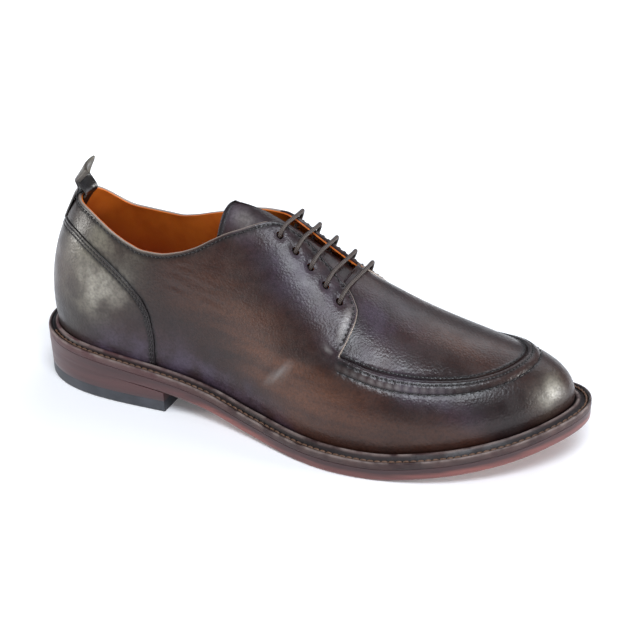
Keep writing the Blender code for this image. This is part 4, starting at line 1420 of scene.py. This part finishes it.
stitch_t = np.linspace(*WELT_ROW, WELT_ROW_COUNT)
stitch_path = ring(stitch_t, WELT_STITCH_INSET, welt_base + WELT_STITCH_HEIGHT)
stitch_run = lengths(stitch_path)
stitch_at = smooth(np.column_stack([stitch_run, stitch_path]))
stitch_middle = np.arange(WELT_ROW_MARGIN, stitch_run[-1] - WELT_ROW_MARGIN, WELT_STITCH_PITCH)
stitch_a, stitch_b = (stitch_at(stitch_middle + half * WELT_STITCH_LENGTH) for half in (-0.5, 0.5))
stitch_up = np.tile((0.0, 0.0, 1.0), (len(stitch_a), 1))
welt_threads = threads(stitch_a, stitch_b, stitch_up, WELT_STITCH_WIDTH, WELT_STITCH_DIP)
copper_thread = thread_finish("copper_thread", (0.1, 0.05, 0.028))
welt_stitching = put("welt_stitching", np.array(welt_threads[0]), welt_threads[1], copper_thread, 60)
fit(welt_stitching, "welt")


# Outsole: one thickness of oak-bark leather under the whole welt. Its edge is trimmed, stained mahogany and
# burnished, darker along the top.

# Edge from below upward: inset from the outline in front of the heel, inset over it, height, part of the edge
OUTSOLE_EDGE = (
    (1.4, 0.5, 0.0, 0.0),
    (0.8, 0.45, 0.25, 0.05),
    (0.45, 0.4, 0.8, 0.15),
    (0.3, 0.3, 1.6, 0.3),
    (0.25, 0.25, 3.4, 0.55),
    (0.2, 0.2, 5.4, 0.85),
    (0.15, 0.15, OUTSOLE_THICK + 0.1, 0.97),
    (0.4, 0.4, OUTSOLE_THICK + JOIN, 1.0),
)
HEEL_STAIN = (0.082, 0.034, 0.034)
# How far behind the end of the heel's stain the edge is trimmed flush with the heel
TRIM_BEHIND = 30.0
CAP_STEP = 6.0


def stained_leather(name, low, high, line):
    """Burnished edge of sole leather: colour changes up the edge, with fine fibres along it."""
    material, tree, shader, place = new_finish(name)
    fibre = noise(tree, stretched(tree, place, (40.0, 40.0, 420.0)), 1.0, 4.0)
    level = combined(tree, painted(tree, "rise"), spread_out(tree, fibre, 0.2, 0.8, -0.12, 0.12))
    colour = tint(tree, spread_out(tree, level, line - 0.2, line + 0.2), low, high)
    colour = tint(tree, painted(tree, "heelward"), colour, HEEL_STAIN)
    streak = noise(tree, stretched(tree, place, (14.0, 14.0, 160.0)), 1.0, 4.0)
    colour = tint(tree, spread_out(tree, streak, 0.4, 0.75, 0.0, 0.7), colour, (0.035, 0.018, 0.02))
    rough = spread_out(tree, fibre, 0.2, 0.8, 0.28, 0.48)
    join(tree, shader, {"Base Color": colour, "Roughness": rough, "Normal": bump(tree, fibre, 0.12, 0.0004)})
    return material


over_heel = heelward(outsole_edge(RIM_T) + (TRIM_BEHIND, 0.0))
outsole_rings = [
    ring(RIM_T, front + (back - front) * over_heel, height) for front, back, height, _ in OUTSOLE_EDGE
]
outsole_points, outsole_faces = slab(
    outsole_rings, under, lambda x: under(x) + OUTSOLE_THICK + JOIN, CAP_STEP
)
outsole_finish = stained_leather("outsole_finish", (0.2, 0.066, 0.056), (0.045, 0.018, 0.019), 0.55)
outsole = put("outsole_leather_layer", outsole_points, outsole_faces, outsole_finish, 50)
outsole_rise = np.zeros(len(outsole_points))
outsole_rise[:len(OUTSOLE_EDGE) * RIM_COUNT] = np.repeat([row[3] for row in OUTSOLE_EDGE], RIM_COUNT)
paint(outsole, "rise", outsole_rise)
paint(outsole, "heelward", heelward(outsole_points))
fit(outsole, "outsole")


# Heel: lifts of leather stacked under the outsole, trimmed with it to one wall and stained brown. It ends in a
# straight breast toward the arch.

HEEL_LENGTH = 84.0
LIFT_THICK = 6.4
HEEL_ARC_COUNT = 220
HEEL_BREAST_COUNT = 40
HEEL_STAINED = 0.6
# Part of the height, inset from the outline
HEEL_WALL = ((0.0, 1.25), (0.02, 1.15), (0.35, 0.9), (0.7, 0.65), (1.0, 0.5))


def heel_loop(inset):
    """Heel outline: the outsole edge back from the breast, closed by the straight breast."""
    t = np.linspace(-0.25, 0.25, 2001)
    plan, _ = edge(t, np.full(len(t), inset))
    behind = plan[plan[:, 0] < HEEL_LENGTH]
    run = lengths(behind)
    arc = smooth(np.column_stack([run, behind]))(np.linspace(0, run[-1], HEEL_ARC_COUNT))
    arc[[0, -1], 0] = HEEL_LENGTH
    breast = np.linspace(arc[-1], arc[0], HEEL_BREAST_COUNT)[1:-1]
    return np.vstack([arc, breast])


heel_rings = []
for share, inset in HEEL_WALL:
    plan = heel_loop(inset)
    height = LIFT_THICK + share * (under(plan[:, 0]) - LIFT_THICK)
    heel_rings.append(np.column_stack([plan, height]))
heel_points, heel_faces = slab(heel_rings, lambda x: LIFT_THICK, under, CAP_STEP)
heel_finish = stained_leather("heel_finish", (0.045, 0.022, 0.024), HEEL_STAIN, 0.25)
heel = put("heel_stack", heel_points, heel_faces, heel_finish, 50)
heel_rise = np.zeros(len(heel_points))
heel_rise[:len(HEEL_WALL) * len(heel_rings[0])] = np.repeat([row[0] for row in HEEL_WALL], len(heel_rings[0]))
paint(heel, "rise", heel_rise)
paint(heel, "heelward", np.full(len(heel_points), HEEL_STAINED))
fit(heel, "heel")


# Top lift: the dark rubber layer that the heel stands on, glued and nailed under the stack. Its lower edge is
# slightly rounded.

# Edge from below upward: inset from the outline, height
LIFT_EDGE = ((2.0, 0.0), (1.6, 0.2), (1.4, 0.6), (1.25, 3.0), (1.2, LIFT_THICK))


def lift_rubber():
    """Dark blue-grey rubber with a dull, faintly pitted skin."""
    material, tree, shader, place = new_finish("lift_rubber")
    cloud = spread_out(tree, noise(tree, place, 80.0, 4.0), 0.3, 0.7)
    colour = tint(tree, cloud, (0.025, 0.027, 0.034), (0.05, 0.052, 0.062))
    rough = spread_out(tree, cloud, 0.0, 1.0, 0.5, 0.65)
    relief = bump(tree, noise(tree, place, 1800.0), 0.2, 0.0003)
    join(tree, shader, {"Base Color": colour, "Roughness": rough, "Normal": relief})
    return material


lift_rings = []
for inset, height in LIFT_EDGE:
    plan = heel_loop(inset)
    lift_rings.append(np.column_stack([plan, np.full(len(plan), height)]))
lift_points, lift_faces = slab(lift_rings, lambda x: 0.0, lambda x: LIFT_THICK, CAP_STEP)
lift = put("heel_rubber_lift", lift_points, lift_faces, lift_rubber(), 50)
fit(lift, "heel_top_lift")


# Lace: one thin round waxed cord. It crosses the throat in five straight bars, goes down through the inner
# eyelets and runs slanting under the facings to the next row. Both ends stop inside the top and bottom
# eyelets.

LACE_DIAMETER = 2.1
LACE_SIDES = 12
LACE_STEP = 0.6
LACE_LIFT = LACE_DIAMETER / 2 + 0.25
LACE_IN_HOLE = -0.8
LACE_INSIDE = -4.0
LACE_LEAVE = 1.4
LACE_SLANT = 1.0
# How far the lace clears the edge of the inner facing, which is the fifth knot of each bar
LACE_OVER = (0.0, 3.0, 2.8)
OVER_KNOT = 4
THROAT_START = 45.0


def facing_edge(station, side):
    """Distance of the facing's edge out from the crest, in percent."""
    rows = np.array([row for row in TOPLINE if row[0] > THROAT_START])
    return np.interp(station, rows[:, 0], rows[:, 1 if side < 0 else 2])


lace_knots = []
for station, outer, inner in EYELETS:
    near, far = flat_point((station, station), (-outer, inner))
    ahead = station + LACE_SLANT
    near_edge = flat_point(station + LACE_SLANT / 3, -facing_edge(station, -1))
    far_edge = flat_point(ahead, facing_edge(ahead, 1))
    leaving = near + unit(near_edge - near) * LACE_LEAVE
    flats = np.array([near, near, leaving, near_edge, far_edge, far, far, far])
    down = [LACE_LIFT, LACE_IN_HOLE, LACE_INSIDE]
    level = np.array([*down[::-1], LACE_LIFT, 0.0, *down])
    knots = on_last(flats) + skin_normal(flats) * level[:, None]
    knots[OVER_KNOT] += LACE_OVER
    lace_knots.append(knots)
lace_path = np.vstack(lace_knots)
lace_run = lengths(lace_path)
lace_count = int(lace_run[-1] / LACE_STEP)
lace_line = smooth(np.column_stack([lace_run, lace_path]))(np.linspace(0, lace_run[-1], lace_count))


def tube(path, radius, sides):
    """Points and faces of a round tube along a path, its ends closed."""
    along = unit(np.gradient(path, axis=0))
    up = np.zeros_like(path)
    up[0] = unit(np.cross(along[0], (0.3, 0.5, 0.8)))
    for i in range(1, len(path)):
        up[i] = unit(up[i - 1] - along[i] * np.dot(up[i - 1], along[i]))
    aside = np.cross(along, up)
    turn = np.linspace(0, 2 * np.pi, sides, endpoint=False)[:, None, None]
    rings = path + (np.cos(turn) * up + np.sin(turn) * aside) * radius
    points = rings.transpose(1, 0, 2).reshape(-1, 3)
    faces = []
    for k in range(len(path) - 1):
        faces += band_faces(sides, k * sides, (k + 1) * sides)
    last = (len(path) - 1) * sides
    faces.append(tuple(reversed(range(sides))))
    faces.append(tuple(last + i for i in range(sides)))
    return points, faces


def lace_finish():
    """Waxed cotton: a fine slanting braid in taupe brown."""
    material, tree, shader, place = new_finish("lace_finish")
    waves = {"Vector": place, "Scale": 420.0, "Distortion": 2.0}
    braid = node(tree, "ShaderNodeTexWave", waves, bands_direction="DIAGONAL").outputs["Fac"]
    share = combined(tree, braid, noise(tree, place, 500.0), "MULTIPLY")
    colour = tint(tree, share, (0.03, 0.02, 0.017), (0.1, 0.074, 0.06))
    join(tree, shader, {"Base Color": colour, "Roughness": 0.55, "Normal": bump(tree, braid, 0.35, 0.0003)})
    return material


lace_points, lace_faces = tube(lace_line, LACE_DIAMETER / 2, LACE_SIDES)
lace = put("lace", lace_points, lace_faces, lace_finish(), 70)
fit(lace, "lace_bar_1")
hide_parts("lace_bar_2", "lace_bar_3", "lace_bar_4", "lace_bar_5")


# Studio: a plain white floor under large soft lamps, and a camera from the outer front, raised over the shoe
# as in the photograph and framed on it.

FLOOR_HALF = 6.0
FLOOR_DROP = 0.0002
# Glow of the floor: distances in metres between which it changes, then the two strengths. It is weak round the
# shoe, whose shadow has to show, and its pale middle lies behind the shoe.
GLOW_ROUND_SHOE = (0.12, 0.45, 0.1, 0.5)
GLOW_MIDDLE = (0.75, 1.6, 1.0, 0.0)
GLOW_FAR = (0.9, 1.9, 0.0, 0.6)
PALE_MIDDLE = (-0.1, 0.45, 0.0)
CAMERA_PLACE = (0.4444, -0.9720, 0.6269)
CAMERA_AIM = (0.0016, 0.0157, 0.0450)
CAMERA_ROLL = -0.683
CAMERA_LENS = 131.3

floor_mesh = bpy.data.meshes.new("floor")
corners = [(x * FLOOR_HALF, y * FLOOR_HALF, -FLOOR_DROP) for x, y in ((-1, -1), (1, -1), (1, 1), (-1, 1))]
floor_mesh.from_pydata(corners, [], [(0, 1, 2, 3)])
floor = bpy.data.objects.new("floor", floor_mesh)
bpy.context.collection.objects.link(floor)
floor_finish, floor_tree, floor_shader, floor_place = new_finish("floor_finish")
from_shoe = node(floor_tree, "ShaderNodeVectorMath", {0: floor_place}, operation="LENGTH").outputs["Value"]
from_middle = node(floor_tree, "ShaderNodeVectorMath", {0: floor_place, 1: PALE_MIDDLE}, operation="DISTANCE")
middle_glow = spread_out(floor_tree, from_middle.outputs["Value"], *GLOW_MIDDLE)
floor_glow = combined(floor_tree, spread_out(floor_tree, from_shoe, *GLOW_ROUND_SHOE), middle_glow, "MULTIPLY")
floor_glow = combined(floor_tree, floor_glow, spread_out(floor_tree, from_shoe, *GLOW_FAR), "MAXIMUM")
join(floor_tree, floor_shader, {"Base Color": (0.92, 0.92, 0.93, 1.0), "Roughness": 0.7})
join(floor_tree, floor_shader, {"Emission Color": (1.0, 1.0, 1.0, 1.0), "Emission Strength": floor_glow})
floor_mesh.materials.append(floor_finish)

world = bpy.data.worlds.new("studio")
world.use_nodes = True
sky = world.node_tree.nodes["Background"]
join(world.node_tree, sky, {"Color": (0.82, 0.88, 1.0, 1.0), "Strength": 0.3})
bpy.context.scene.world = world


def soft_lamp(name, place, aim, size, power, colour):
    """A rectangular lamp turned to its aim."""
    lamp = bpy.data.lights.new(name, "AREA")
    lamp.shape = "RECTANGLE"
    lamp.size, lamp.size_y = size
    lamp.energy = power
    lamp.color = colour
    holder = bpy.data.objects.new(name, lamp)
    holder.location = place
    holder.rotation_euler = (Vector(aim) - Vector(place)).to_track_quat("-Z", "Y").to_euler()
    bpy.context.collection.objects.link(holder)


soft_lamp("lamp_front", (0.5, -0.9, 1.6), (0.05, 0.0, 0.06), (1.0, 0.75), 30.0, (0.88, 0.93, 1.0))
soft_lamp("lamp_left", (-1.65, -0.7, 0.4), (-0.1, 0.0, 0.06), (0.5, 0.6), 17.0, (1.0, 0.98, 0.93))
soft_lamp("lamp_right", (1.7, 0.22, 0.34), (0.13, 0.0, 0.04), (0.5, 0.4), 22.0, (1.0, 1.0, 0.98))
soft_lamp("lamp_back", (0.2, 1.1, 1.25), (0.05, 0.0, 0.06), (1.6, 0.8), 9.5, (0.9, 0.94, 1.0))

camera = bpy.data.cameras.new("camera")
camera.lens = CAMERA_LENS
camera.sensor_width = 36.0
viewer = bpy.data.objects.new("camera", camera)
bpy.context.collection.objects.link(viewer)
toward = Vector(CAMERA_AIM) - Vector(CAMERA_PLACE)
turned = toward.to_track_quat("-Z", "Y").to_matrix() @ Matrix.Rotation(np.radians(CAMERA_ROLL), 3, "Z")
viewer.matrix_world = Matrix.Translation(CAMERA_PLACE) @ turned.to_4x4()
bpy.context.scene.camera = viewer
bpy.context.scene.view_settings.view_transform = "Standard"
